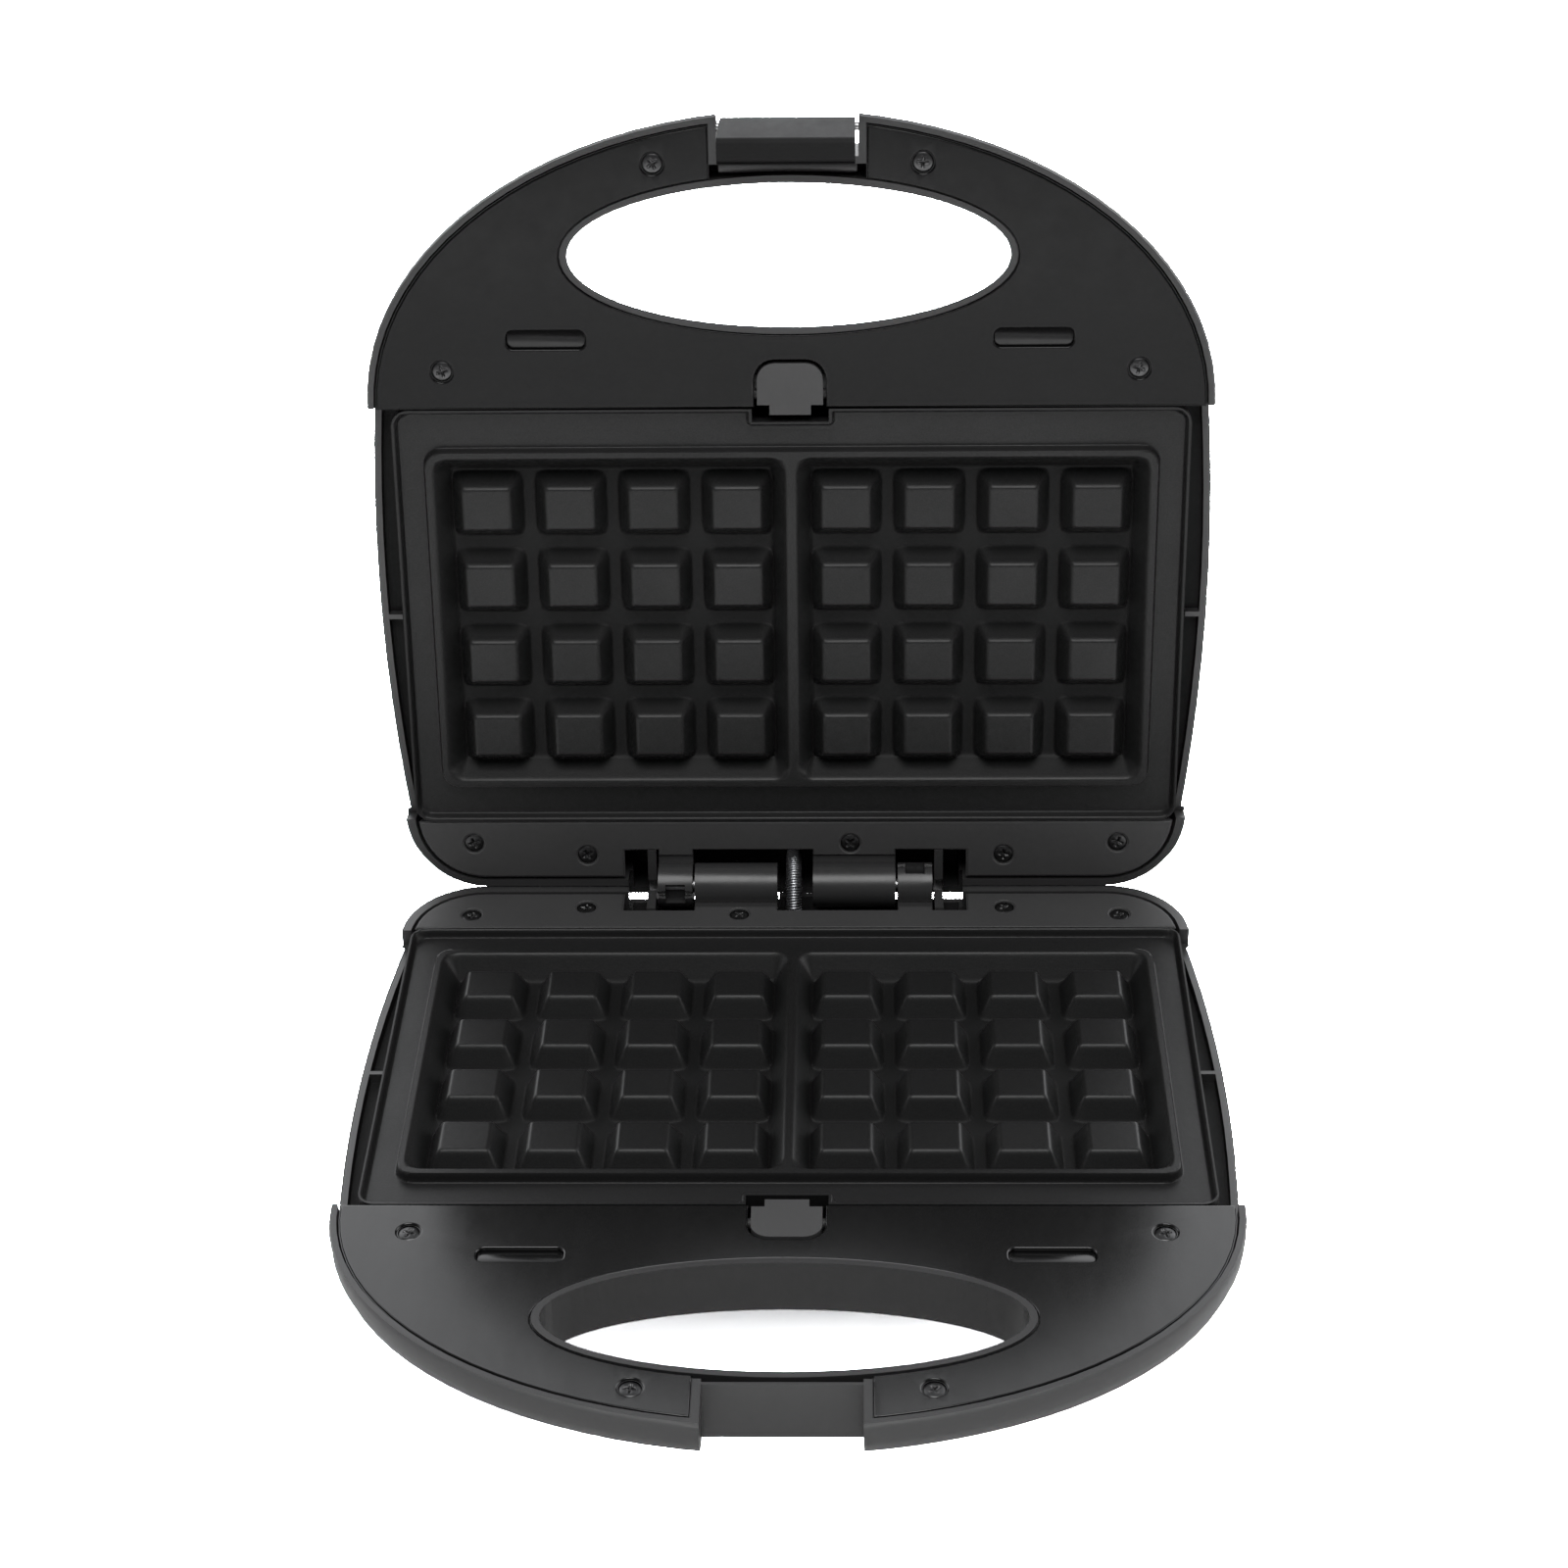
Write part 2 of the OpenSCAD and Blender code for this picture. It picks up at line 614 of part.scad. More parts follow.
module half_shell(is_lid) {
    levels = is_lid ? lid_levels : base_levels;
    flare = is_lid ? grip_flare : 0;
    notch_w = is_lid ? lid_notch_half_w : base_notch_half_w;
    notch_top = is_lid ? clip_rib_fwd : keeper_top_fwd;
    notch_low = is_lid ? clip_rib_fwd : keeper_low_fwd;
    rib = is_lid ? clip_rib_t : keeper_t;
    grip_front = grip_fwd + grip_b + grip_rim;
    difference() {
        union() {
            difference() {
                union() {
                    body_solid(false);
                    handle_solid(levels, false);
                    rim_bump(is_lid ? -wall / 2 : rear_lip);
                    housing(false);
                    if (!is_lid) gland_pad();
                }
                difference() {
                    shell_void(levels);
                    posts(panel_screws, boss_d, panel_under, -far);
                    posts(strip_screws, boss_d, strip_under, -far);
                    posts(reflector_screws, boss_d + 2, reflector_z - sheet_t, -far);
                    posts(seats, boss_d, -flange_z - flange_t, -far);
                    posts([[0, -spring_fwd]], boss_d, spring_seat_z, -far);
                    loft([[grip_outline(grip_rim, 0), -handle_rim_z],
                          [grip_outline(grip_rim, flare), -handle_h]]);
                    notch_block(notch_w, notch_top);
                    side_channels();
                    side_ribs();
                }
                // Rear wall above the housing, and the lowered side walls
                translate([-rear_cut_half_w, hinge_y - axis_room, -hinge_cut_z])
                    cube([2 * rear_cut_half_w, far, far]);
                for (side = [-1, 1]) translate([side * (plate_half_w + far / 2) - far / 2,
                    -handle_fwd, -side_rim_z]) cube([far, handle_fwd + side_step_y, far]);
            }
            hinge_eyes();
            cheeks();
            if (!is_lid) light_stop();
        }
        hinge_bores();
        loft([[grip_outline(0, 0), -handle_rim_z + eps], [grip_outline(0, flare), -handle_h - eps]]);
        notch_cut(notch_w, notch_top, notch_low);
        translate([-notch_w, rib - notch_top, -latch_slot_z])
            cube([2 * notch_w, notch_top - rib - grip_front, latch_slot_z]);
        pilots(panel_screws, shank_d + 2 * fit_gap, panel_under, shank_l + 1);
        pilots(strip_screws, shank_d + 2 * fit_gap, strip_under, shank_l + 1);
        pilots(reflector_screws, shank_d + 2 * fit_gap, reflector_z - sheet_t, shank_l + 1);
        if (is_lid) {
            translate([0, -clip_fwd, -clip_pin_z]) rotate([0, 90, 0])
                translate([0, 0, -lid_notch_half_w - wall])
                    cylinder(r = clip_pin_d / 2 + fit_gap, h = 2 * (lid_notch_half_w + wall));
            for (x = [-1, 1]) translate([x * lens_pitch / 2, -lens_fwd, -body_h - 1])
                cylinder(d = lens_d + 2 * fit_gap, h = wall + 2);
        } else {
            translate([gland_x, rear_y, -gland_z]) rotate([90, 0, 0])
                cylinder(r = gland_r + fit_gap, h = 6 * wall, center = true);
            for (x = [-1, 1], y = [-1, 1]) translate([x * foot_x, y * foot_y, -body_h - 1])
                cylinder(r = foot_peg_r + fit_gap, h = wall + 2);
        }
    }
}

// Rectangle with rounded corners, as points
function rounded(half_x, half_y, r) = [for (q = [0:3]) for (i = [0:6]) let (a = 90 * q + 15 * i)
    [(q == 0 || q == 3 ? 1 : -1) * (half_x - r) + r * cos(a),
     (q < 2 ? 1 : -1) * (half_y - r) + r * sin(a)]];
function shifted(points, by) = [for (p = points) p + by];

// Plate outline between its front and rear edges
function plate_outline(half_w, fwd, rear, r) =
    shifted(rounded(half_w, (fwd + rear) / 2, r), [0, (rear - fwd) / 2]);

// Upright prism of an outline between two levels
module slab(points, low, high) {
    translate([0, 0, low]) linear_extrude(high - low) polygon(points);
}

// Holes for recessed screw heads and their shanks
module screw_holes(places, face) {
    for (p = places) translate([p[0], p[1], face]) {
        translate([0, 0, -head_sink]) cylinder(r = head_d / 2 + screw_gap, h = head_sink + 1);
        translate([0, 0, -2 * panel_t]) cylinder(r = shank_d / 2 + screw_gap, h = 2 * panel_t);
    }
}

function button_outline(half_w, back, end, r) = concat(
    [[half_w, -back], [-half_w, -back]],
    [for (i = [0:6]) let (a = 180 + 15 * i) [r - half_w + r * cos(a), r - end + r * sin(a)]],
    [for (i = [0:6]) let (a = 270 + 15 * i) [half_w - r + r * cos(a), r - end + r * sin(a)]]
);

module half_panel(is_lid) {
    pocket = rounded(pocket_l, pocket_w, pocket_w * 0.75);
    tub = rounded(pocket_l + pocket_t, pocket_w + pocket_t, pocket_w);
    bar = rounded(pocket_l - 1.8, pocket_w / 3, pocket_w / 4);
    notch_w = (is_lid ? lid_notch_half_w : base_notch_half_w) + wall + rest_gap;
    edge = wall + panel_gap;
    rim = grip_rim + rest_gap;
    difference() {
        union() {
            slab(handle_outline(edge, 0.1 - handle_fwd, handle_a - edge), panel_under, -panel_z);
            for (side = [-1, 1]) slab(shifted(tub, [side * pocket_x, -pocket_fwd]),
                -panel_z - pocket_d - pocket_t, -panel_z);
            for (side = [-1, 1]) translate([side * ear_x - ear_t / 2, -button_pivot_fwd - ear_l / 2,
                -button_pivot_z - ear_l / 2]) cube([ear_t, ear_l, button_pivot_z]);
        }
        loft([[grip_outline(rim, 0), open_h], [grip_outline(rim, 0), -handle_rim_z],
              [grip_outline(rim, is_lid ? grip_flare : 0), -handle_h]]);
        translate([-notch_w, -far, -far]) cube([2 * notch_w, far - grip_fwd, 2 * far]);
        slab(button_outline(button_half_w + button_gap, 0, button_end + button_gap,
            button_r + button_gap), -far, far);
        translate([0, -button_pivot_fwd, -button_pivot_z]) rotate([0, 90, 0])
            cylinder(d = stud_d + 2 * fit_gap, h = 2 * (ear_x + ear_t), center = true);
        screw_holes(panel_screws, -panel_z);
        for (side = [-1, 1]) difference() {
            slab(shifted(pocket, [side * pocket_x, -pocket_fwd]), -panel_z - pocket_d, 1);
            slab(shifted(bar, [side * pocket_x, -pocket_fwd]), -far, -panel_z - pocket_d / 2);
        }
    }
}

module half_strip() {
    difference() {
        intersection() {
            slab(body_outline(wall + strip_gap, corner_y - 2, 2), strip_under, -strip_z);
            translate([-far, strip_y, -far]) cube(2 * far);
        }
        difference() {
            translate([-hinge_half_w, strip_cut_y, -far]) cube(2 * [hinge_half_w, far, far]);
            for (span = eye_spans) translate([span[0], strip_cut_y - 1, -far])
                cube([span[1] - span[0], 1 + strip_tab_l, 2 * far]);
        }
        screw_holes(strip_screws, -strip_z);
    }
}

// Tapered block of the waffle pattern
module block() {
    half = [block_w / 2, block_l / 2];
    foot = half + [block_draft, block_draft];
    loft([for (ring = [[half, -block_z], [foot, mould_z], [foot, mould_z - 0.3]])
        [[[ring[0][0], ring[0][1]], [-ring[0][0], ring[0][1]],
          [-ring[0][0], -ring[0][1]], [ring[0][0], -ring[0][1]]], ring[1]]]);
}

// Drafted mould for one waffle, on the side of the plate given as -1 or 1
module mould(side) {
    inner_x = ridge_t / 2;
    outer_x = ridge_half_w - ridge_t;
    draft = outer_x - (middle_x / 2 + 3 * pitch_x + block_w / 2 + block_draft);
    fwd = ridge_fwd - ridge_t;
    rear = ridge_rear - ridge_t;
    centre = [side * (inner_x + outer_x) / 2, (rear - fwd) / 2];
    half = [(outer_x - inner_x) / 2, (rear + fwd) / 2];
    loft([for (ring = [[0, open_h], [0, -ridge_z], [draft, mould_z]])
        [shifted(rounded(half[0] - ring[0], half[1] - ring[0], plate_r), centre), ring[1]]]);
}

module half_plate() {
    lip_notch = [notch_half_w, notch_d];
    difference() {
        union() {
            slab(plate_outline(plate_half_w, plate_fwd, plate_rear, plate_r),
                -flange_z - flange_t, -lip_z);
            slab(plate_outline(ridge_half_w, ridge_fwd, ridge_rear, plate_r), -flange_z, -ridge_z);
            slab(plate_outline(ridge_half_w - 1.6 * ridge_t, ridge_fwd - 1.6 * ridge_t,
                ridge_rear - 1.6 * ridge_t, plate_r), plate_under, -flange_z);
        }
        difference() {
            slab(plate_outline(plate_half_w - lip_t, plate_fwd - lip_t, plate_rear - lip_t,
                plate_r - lip_t), -flange_z, open_h);
            slab(plate_outline(ridge_half_w, ridge_fwd, ridge_rear, plate_r), -far, -ridge_z);
            translate([-notch_half_w - lip_t, -plate_fwd, -far])
                cube([2 * (notch_half_w + lip_t), notch_d + lip_t, far - lip_z]);
        }
        translate([-notch_half_w, -plate_fwd - 1, -far]) cube([2 * notch_half_w, notch_d + 1, 2 * far]);
        mould(-1);
        mould(1);
    }
    for (side = [-1, 1]) for (i = [0:3]) for (j = [0:3])
        translate([side * (middle_x / 2 + i * pitch_x), (j - 1.5) * pitch_y, 0]) block();
}

module half_button() {
    slab(button_outline(button_half_w, button_fwd, button_end, button_r),
        -panel_z - button_cap_t, -panel_z);
    rib_fwd = button_pivot_fwd + ear_l / 2 - rest_gap;
    translate([-button_half_w, -rib_fwd, -button_pivot_z - ear_l / 2])
        cube([2 * button_half_w, rib_fwd - button_fwd,
              button_pivot_z + ear_l / 2 - panel_z]);
    translate([-tongue_half_w, -button_fwd - 1, -panel_z - tongue_t])
        cube([2 * tongue_half_w, button_fwd + 1 - plate_fwd - tongue_gap, tongue_t]);
    translate([0, -button_pivot_fwd, -button_pivot_z]) rotate([0, 90, 0])
        cylinder(d = stud_d, h = 2 * (ear_x - rest_gap) + ear_t, center = true);
}

module half_button_spring() {
    translate([0, -spring_fwd, spring_seat_z]) difference() {
        cylinder(r = boss_d / 2 - 1, h = -panel_z - button_cap_t - spring_seat_z);
        translate([0, 0, -1]) cylinder(r = boss_d / 2 - 1.7, h = far);
    }
}

// Straight run and quarter bend of the heating element's tube, in its own level plane
module run(from, to) {
    length = norm(to - from);
    turn = atan2(to[1] - from[1], to[0] - from[0]);
    translate([from[0], from[1], 0]) rotate([0, 0, turn]) rotate([0, 90, 0])
        cylinder(d = element_d, h = length);
}

module bend(centre, r, start) {
    translate([centre[0], centre[1], 0]) rotate([0, 0, start]) rotate_extrude(angle = 90)
        translate([r, 0]) circle(d = element_d);
}

module half_element() {
    corner_x = loop_half_w - loop_r;
    side_y = loop_half_l - loop_r;
    translate([0, 0, element_z]) {
        run([-corner_x, -loop_half_l], [corner_x, -loop_half_l]);
        for (side = [-1, 1]) {
            run([side * loop_half_w, -side_y], [side * loop_half_w, side_y]);
            run([side * corner_x, loop_half_l], [side * (ends_x + end_r), loop_half_l]);
            run([side * ends_x, loop_half_l + end_r], [side * ends_x, element_end_y]);
        }
        bend([corner_x, -side_y], loop_r, 270);
        bend([-corner_x, -side_y], loop_r, 180);
        bend([corner_x, side_y], loop_r, 0);
        bend([-corner_x, side_y], loop_r, 90);
        bend([ends_x + end_r, loop_half_l + end_r], end_r, 180);
        bend([-ends_x - end_r, loop_half_l + end_r], end_r, 270);
    }
}

module half_reflector() {
    difference() {
        slab(rounded(reflector_half_w, reflector_half_l, loop_r / 2), reflector_z - sheet_t,
            element_z + sheet_t);
        slab(rounded(reflector_half_w - sheet_t, reflector_half_l - sheet_t, loop_r / 2 - sheet_t),
            reflector_z, far);
        for (side = [-1, 1])
            translate([side * ends_x - element_d / 2 - 0.5, 0, element_z - element_d / 2 - 0.5])
                cube([element_d + 1, far, far]);
        pilots(reflector_screws, shank_d + 2 * screw_gap, far, 2 * far);
    }
}

module half_element_clips() {
    for (x = [-1, 1], y = [-1, 1]) difference() {
        translate([x * loop_half_w - element_d, y * clip_y - clip_l / 2, reflector_z])
            cube([2 * element_d, clip_l, element_z - reflector_z]);
        translate([x * loop_half_w, y * clip_y, element_z]) rotate([90, 0, 0])
            cylinder(r = element_d / 2 + fit_gap, h = 2 * clip_l, center = true);
    }
}

// Block of screw terminals with its wire holes, its rear face at the given place
module terminals(rear, top) {
    difference() {
        translate([-terminal_w, rear - terminal_l, body_floor])
            cube([2 * terminal_w, terminal_l, top - body_floor]);
        for (x = [-1, 1]) translate([x * terminal_w / 2, rear - terminal_l / 2, top - 4])
            cylinder(d = 5, h = 5);
    }
}

module foot(x, y) {
    place_base() translate([x, y, -body_h]) {
        translate([0, 0, -foot_h]) cylinder(d = foot_d, h = foot_h);
        cylinder(r = foot_peg_r, h = wall + 2);
        translate([0, 0, wall]) cylinder(r = foot_peg_r + 1, h = 2);
    }
}

module place_base() translate([0, plate_back, part_z]) children();
module place_lid() translate([0, plate_back + hinge_y, part_z])
    rotate([-open_angle, 0, 0]) rotate([0, 180, 0]) translate([0, -hinge_y, 0]) children();
// Upright plane through the middle: its X runs to the rear from the hinge axis and its Y upwards
module place_hinge() translate([guard_x, plate_back + hinge_y, part_z]) rotate([90, 0, 90]) children();

// A lead's path over the hinge, with the cross section given as a child
module hinge_path(low, high) {
    translate([guard_r - guard_start, -guard_low]) rotate([0, 0, 90])
        rotate_extrude(angle = 90) translate([guard_r, 0]) children();
    translate([-guard_start, -guard_low, 0]) rotate([90, 0, 0]) linear_extrude(low) children();
    translate([guard_r - guard_start, guard_r - guard_low, 0]) rotate([90, 0, 90])
        linear_extrude(high) children();
}

module base_shell() color(abs_black) place_base() half_shell(false);
module base_handle_panel() color(abs_black) place_base() half_panel(false);
module base_hinge_strip() color(abs_grey) place_base() half_strip();
module base_plate() color(cast_black) place_base() half_plate();
module base_element() color(steel) place_base() half_element();
module base_reflector() color(alu) place_base() half_reflector();
module base_element_clips() color(alu) place_base() half_element_clips();
module base_reflector_screws() color(steel) place_base()
    screws(reflector_screws, reflector_z + head_h);
module base_panel_screws() color(steel) place_base()
    screws(panel_screws, -panel_z - head_sink + head_h);
module base_strip_screws() color(steel) place_base()
    screws(strip_screws, -strip_z - head_sink + head_h);
module base_release_button() color(abs_grey) place_base() half_button();
module base_button_spring() color(steel) place_base() half_button_spring();
module foot_front_left() color("#101010") foot(-foot_x, -foot_y);
module foot_front_right() color("#101010") foot(foot_x, -foot_y);
module foot_rear_left() color("#101010") foot(-foot_x, foot_y);
module foot_rear_right() color("#101010") foot(foot_x, foot_y);

module thermostat() color("#d8d2c4") place_base() translate([ends_x, 0, reflector_z - sheet_t]) {
    translate([0, 0, -thermostat_h]) cylinder(r = thermostat_r, h = thermostat_h);
    translate([-1.5 * thermostat_r, -tag_l / 2, -1]) cube([3 * thermostat_r, tag_l, 1]);
    for (x = [-1, 1]) translate([(x * tag_l - tag_t) / 2, -tag_l / 4, 1 - thermostat_h - tag_l])
        cube([tag_t, tag_l / 2, tag_l]);
}

module thermal_fuse() color("#c9c9c4") place_base()
    translate([-ends_x, 0, reflector_z - sheet_t - fuse_r]) {
        translate([-fuse_l / 2, 0, 0]) rotate([0, 90, 0]) cylinder(r = fuse_r, h = fuse_l);
        for (x = [-fuse_l / 2 - fuse_lead_l, fuse_l / 2]) translate([x, 0, 0])
            rotate([0, 90, 0]) cylinder(r = 0.5, h = fuse_lead_l);
    }

module base_terminal_block() color("#d9d4c8") place_base()
    terminals(hinge_y - guard_start - lead_turn - lead_tail, lead_low_z + 3);
module lid_terminal_block() color("#d9d4c8") place_lid()
    terminals(hinge_y - lid_end_fwd, 3 - lid_end_depth);

module cord_gland() color("#181818") place_base()
    translate([gland_x, rear_y - pad_in, -gland_z]) rotate([90, 0, 0]) difference() {
        union() {
            translate([0, 0, -2.5]) cylinder(r = gland_flange_r, h = 2.5);
            translate([0, 0, -eps]) cylinder(r = gland_r, h = 5 * wall);
        }
        cylinder(r = cord_d / 2 + 2 * fit_gap, h = far, center = true);
    }

module hinge_pin(side) color(steel) translate([side * barrel_in, plate_back + hinge_y, part_z])
    rotate([0, side * 90, 0]) cylinder(d = pin_d, h = knuckle_out - barrel_in);
module hinge_pin_left() hinge_pin(-1);
module hinge_pin_right() hinge_pin(1);

module wire_guard_spring() color("#d4d6d8") place_hinge() hinge_path(guard_tail, guard_tail)
    difference() {
        circle(d = guard_d);
        circle(r = lead_d / 2 + guard_play);
    }

module hinge_lead() color("#141414") place_hinge() {
    rise = -lead_low_z - guard_low - lead_turn;
    hinge_path(rise, lid_run) circle(d = lead_d);
    translate([-guard_start - lead_turn, lead_low_z + lead_turn]) rotate([0, 0, 270])
        rotate_extrude(angle = 90) translate([lead_turn, 0]) circle(d = lead_d);
    translate([-guard_start - lead_turn, lead_low_z, 0]) rotate([90, 0, 270])
        linear_extrude(lead_tail) circle(d = lead_d);
    translate([guard_r - guard_start + lid_run, guard_r - guard_low + lead_turn]) rotate([0, 0, 270])
        rotate_extrude(angle = 90) translate([lead_turn, 0]) circle(d = lead_d);
    translate([lid_end_y, guard_r - guard_low + lead_turn, 0]) rotate([270, 0, 0])
        linear_extrude(lid_end_z - guard_r + guard_low - lead_turn) circle(d = lead_d);
}

module lid_shell() color(abs_black) place_lid() half_shell(true);
module lid_handle_panel() color(abs_black) place_lid() half_panel(true);
module lid_hinge_strip() color(abs_grey) place_lid() half_strip();
module lid_plate() color(cast_black) place_lid() half_plate();
module lid_element() color(steel) place_lid() half_element();
module lid_reflector() color(alu) place_lid() half_reflector();
module lid_element_clips() color(alu) place_lid() half_element_clips();
module lid_reflector_screws() color(steel) place_lid()
    screws(reflector_screws, reflector_z + head_h);
module lid_panel_screws() color(steel) place_lid()
    screws(panel_screws, -panel_z - head_sink + head_h);
module lid_strip_screws() color(steel) place_lid()
    screws(strip_screws, -strip_z - head_sink + head_h);
module lid_release_button() color(abs_grey) place_lid() half_button();
module lid_button_spring() color(steel) place_lid() half_button_spring();

// The clip hangs straight from its pin and swings towards the keeper
module latch_clip() color(abs_grey) place_lid() translate([0, -clip_fwd, -clip_pin_z]) difference() {
    reach = clip_pin_z + handle_h + hook_reach + hook_t;
    union() {
        rotate([0, 90, 0]) cylinder(r = clip_eye_r, h = 2 * clip_half_w, center = true);
        translate([-clip_half_w, -clip_eye_r, 0]) cube([2 * clip_half_w, clip_t, reach]);
        translate([-clip_half_w, -clip_eye_r, reach - hook_t])
            cube([2 * clip_half_w, hook_l, hook_t]);
    }
    rotate([0, 90, 0]) cylinder(r = clip_pin_d / 2 + fit_gap, h = 3 * clip_half_w, center = true);
}

module latch_pin() color(steel) place_lid() translate([0, -clip_fwd, -clip_pin_z])
    rotate([0, 90, 0])
        cylinder(d = clip_pin_d, h = 2 * (lid_notch_half_w + wall - rest_gap), center = true);

module lens(x) place_lid() translate([x, -lens_fwd, -body_h]) difference() {
    union() {
        translate([0, 0, -lens_out]) cylinder(d = lens_d, h = lens_h);
        translate([0, 0, wall]) cylinder(r = lens_d / 2 + lens_t, h = lens_t);
    }
    translate([0, 0, lens_t - lens_out]) cylinder(r = lens_d / 2 - lens_t, h = lens_h);
}

module lamp(x) place_lid() translate([x, -lens_fwd, lens_t - lens_out - body_h])
    cylinder(r = lens_d / 2 - lens_t - 0.1, h = lens_h + 2);

module power_lens() color("#a01818") lens(-lens_pitch / 2);
module ready_lens() color("#1e8a3a") lens(lens_pitch / 2);
module power_lamp() color("#f0e6da") lamp(-lens_pitch / 2);
module ready_lamp() color("#f0e6da") lamp(lens_pitch / 2);

base_shell();
base_handle_panel();
base_hinge_strip();
base_plate();
base_element();
base_reflector();
base_element_clips();
base_reflector_screws();
base_panel_screws();
base_strip_screws();
base_release_button();
base_button_spring();
foot_front_left();
foot_front_right();
foot_rear_left();
foot_rear_right();
thermostat();
thermal_fuse();
base_terminal_block();
cord_gland();
hinge_pin_left();
hinge_pin_right();
wire_guard_spring();
hinge_lead();
lid_shell();
lid_handle_panel();
lid_hinge_strip();
lid_plate();
lid_element();
lid_reflector();
lid_element_clips();
lid_reflector_screws();
lid_panel_screws();
lid_strip_screws();
lid_release_button();
lid_button_spring();
lid_terminal_block();
latch_clip();
latch_pin();
power_lens();
ready_lens();
power_lamp();
ready_lamp();
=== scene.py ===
import bpy
import bmesh
import math
import numpy as np
from mathutils import Matrix, Vector
from mathutils.geometry import delaunay_2d_cdt


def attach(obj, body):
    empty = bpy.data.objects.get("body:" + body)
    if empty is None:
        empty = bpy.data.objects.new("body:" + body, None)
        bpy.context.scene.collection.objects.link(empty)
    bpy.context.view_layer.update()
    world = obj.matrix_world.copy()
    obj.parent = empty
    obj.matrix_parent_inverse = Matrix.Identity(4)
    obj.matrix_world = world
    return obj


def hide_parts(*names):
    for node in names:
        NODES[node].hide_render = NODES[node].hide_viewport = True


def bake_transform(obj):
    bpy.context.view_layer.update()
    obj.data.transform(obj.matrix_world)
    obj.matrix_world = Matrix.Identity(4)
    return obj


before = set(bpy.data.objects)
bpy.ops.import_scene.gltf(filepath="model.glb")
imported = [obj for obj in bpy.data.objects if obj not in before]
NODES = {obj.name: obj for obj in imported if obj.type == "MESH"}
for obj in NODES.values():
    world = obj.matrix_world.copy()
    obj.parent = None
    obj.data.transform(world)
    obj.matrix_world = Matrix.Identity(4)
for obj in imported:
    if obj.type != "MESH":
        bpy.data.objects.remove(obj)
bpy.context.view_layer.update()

# Sizes of the model in millimetres, in the half frame: the parting plane at z 0, the plate's
# middle at x 0 and y 0, the handle towards -y and the shell's inside towards -z.
MM = 0.001
OPEN = math.radians(97.4)
HINGE_Y, BACK, PART_Z = 84.3, 4.0, 45.0
GAP_X, GAP_Y, MID_X = 24.2, 23.85, 31.4  # between blocks, and between the two slices' blocks
BLOCK_W, BLOCK_L, DRAFT = 13.54, 12.5, 3.6
TOP_Z, FLOOR_Z = -1.9, -8.4
PANEL_SCREWS = [(98.8, -77.6), (-98.8, -77.6), (37.4, -136.8), (-37.4, -136.8)]
STRIP_SCREWS = [(97.3, 71), (-97.3, 71), (63, 75), (-63, 75), (-16.7, 71.2)]
REFLECTOR_SCREWS = [(90, 32), (-90, 32), (90, -32), (-90, -32)]
SHARP = 38  # degrees above which an edge stays sharp
MICRON = 0.000001  # metres, for bump depths
WELD = 2 * MICRON


def half_matrix(half):
    base = Matrix.Translation((0, BACK, PART_Z))
    lid = (Matrix.Translation((0, BACK + HINGE_Y, PART_Z)) @ Matrix.Rotation(-OPEN, 4, "X")
           @ Matrix.Rotation(math.pi, 4, "Y") @ Matrix.Translation((0, -HINGE_Y, 0)))
    return np.array(Matrix.Scale(MM, 4) @ (base if half == "base" else lid), float)


HALVES = {"base": half_matrix("base"), "lid": half_matrix("lid"), "row": np.diag([MM, MM, MM, 1.0])}


# ---------------------------------------------------------------- materials
PLASTIC_IOR, COAT_IOR, LENS_IOR = 1.5, 1.37, 1.49
RIPPLE = 20  # microns
# Painted shade: the grid's floor is mixed towards a near-black colour, and made duller, where the
# blocks shade it.
TROUGH_SHADE_COLOR, TROUGH_SHADE_MIX, TROUGH_DULL = (0.004, 0.004, 0.004), 0.8, 0.22


def shader(name):
    """A new material with one principled shader."""
    m = bpy.data.materials.new(name)
    m.use_nodes = True
    nodes = m.node_tree.nodes
    nodes.clear()
    out = nodes.new("ShaderNodeOutputMaterial")
    bsdf = nodes.new("ShaderNodeBsdfPrincipled")
    m.node_tree.links.new(bsdf.outputs[0], out.inputs[0])
    return m, m.node_tree, bsdf


def noise(tree, scale, detail=3.0, rough=0.55, stretch=(1, 1, 1)):
    """Noise in the object's own coordinates."""
    coord = tree.nodes.new("ShaderNodeTexCoord")
    mapping = tree.nodes.new("ShaderNodeMapping")
    mapping.inputs["Scale"].default_value = stretch
    tex = tree.nodes.new("ShaderNodeTexNoise")
    tex.inputs["Scale"].default_value = scale
    tex.inputs["Detail"].default_value = detail
    tex.inputs["Roughness"].default_value = rough
    tree.links.new(coord.outputs["Object"], mapping.inputs["Vector"])
    tree.links.new(mapping.outputs[0], tex.inputs["Vector"])
    return tex.outputs["Fac"]


def spread(tree, fac, low, high, start=0.3, end=0.7):
    """A value between start and end mapped to low and high, and held beyond them."""
    node = tree.nodes.new("ShaderNodeMapRange")
    node.inputs["From Min"].default_value = start
    node.inputs["From Max"].default_value = end
    node.inputs["To Min"].default_value = low
    node.inputs["To Max"].default_value = high
    tree.links.new(fac, node.inputs["Value"])
    return node.outputs[0]


def tint(tree, fac, a, b):
    """A mix of two colours."""
    node = tree.nodes.new("ShaderNodeMix")
    node.data_type = "RGBA"
    node.inputs[6].default_value = (*a, 1)
    node.inputs[7].default_value = (*b, 1)
    tree.links.new(fac, node.inputs[0])
    return node.outputs[2]


def bumps(tree, bsdf, layers):
    """Bump from several (height, strength, depth) layers, the depths in microns."""
    last = None
    for height, strength, depth in layers:
        node = tree.nodes.new("ShaderNodeBump")
        node.inputs["Strength"].default_value = strength
        node.inputs["Distance"].default_value = depth * MICRON
        tree.links.new(height, node.inputs["Height"])
        if last:
            tree.links.new(last, node.inputs["Normal"])
        last = node.outputs[0]
    tree.links.new(last, bsdf.inputs["Normal"])


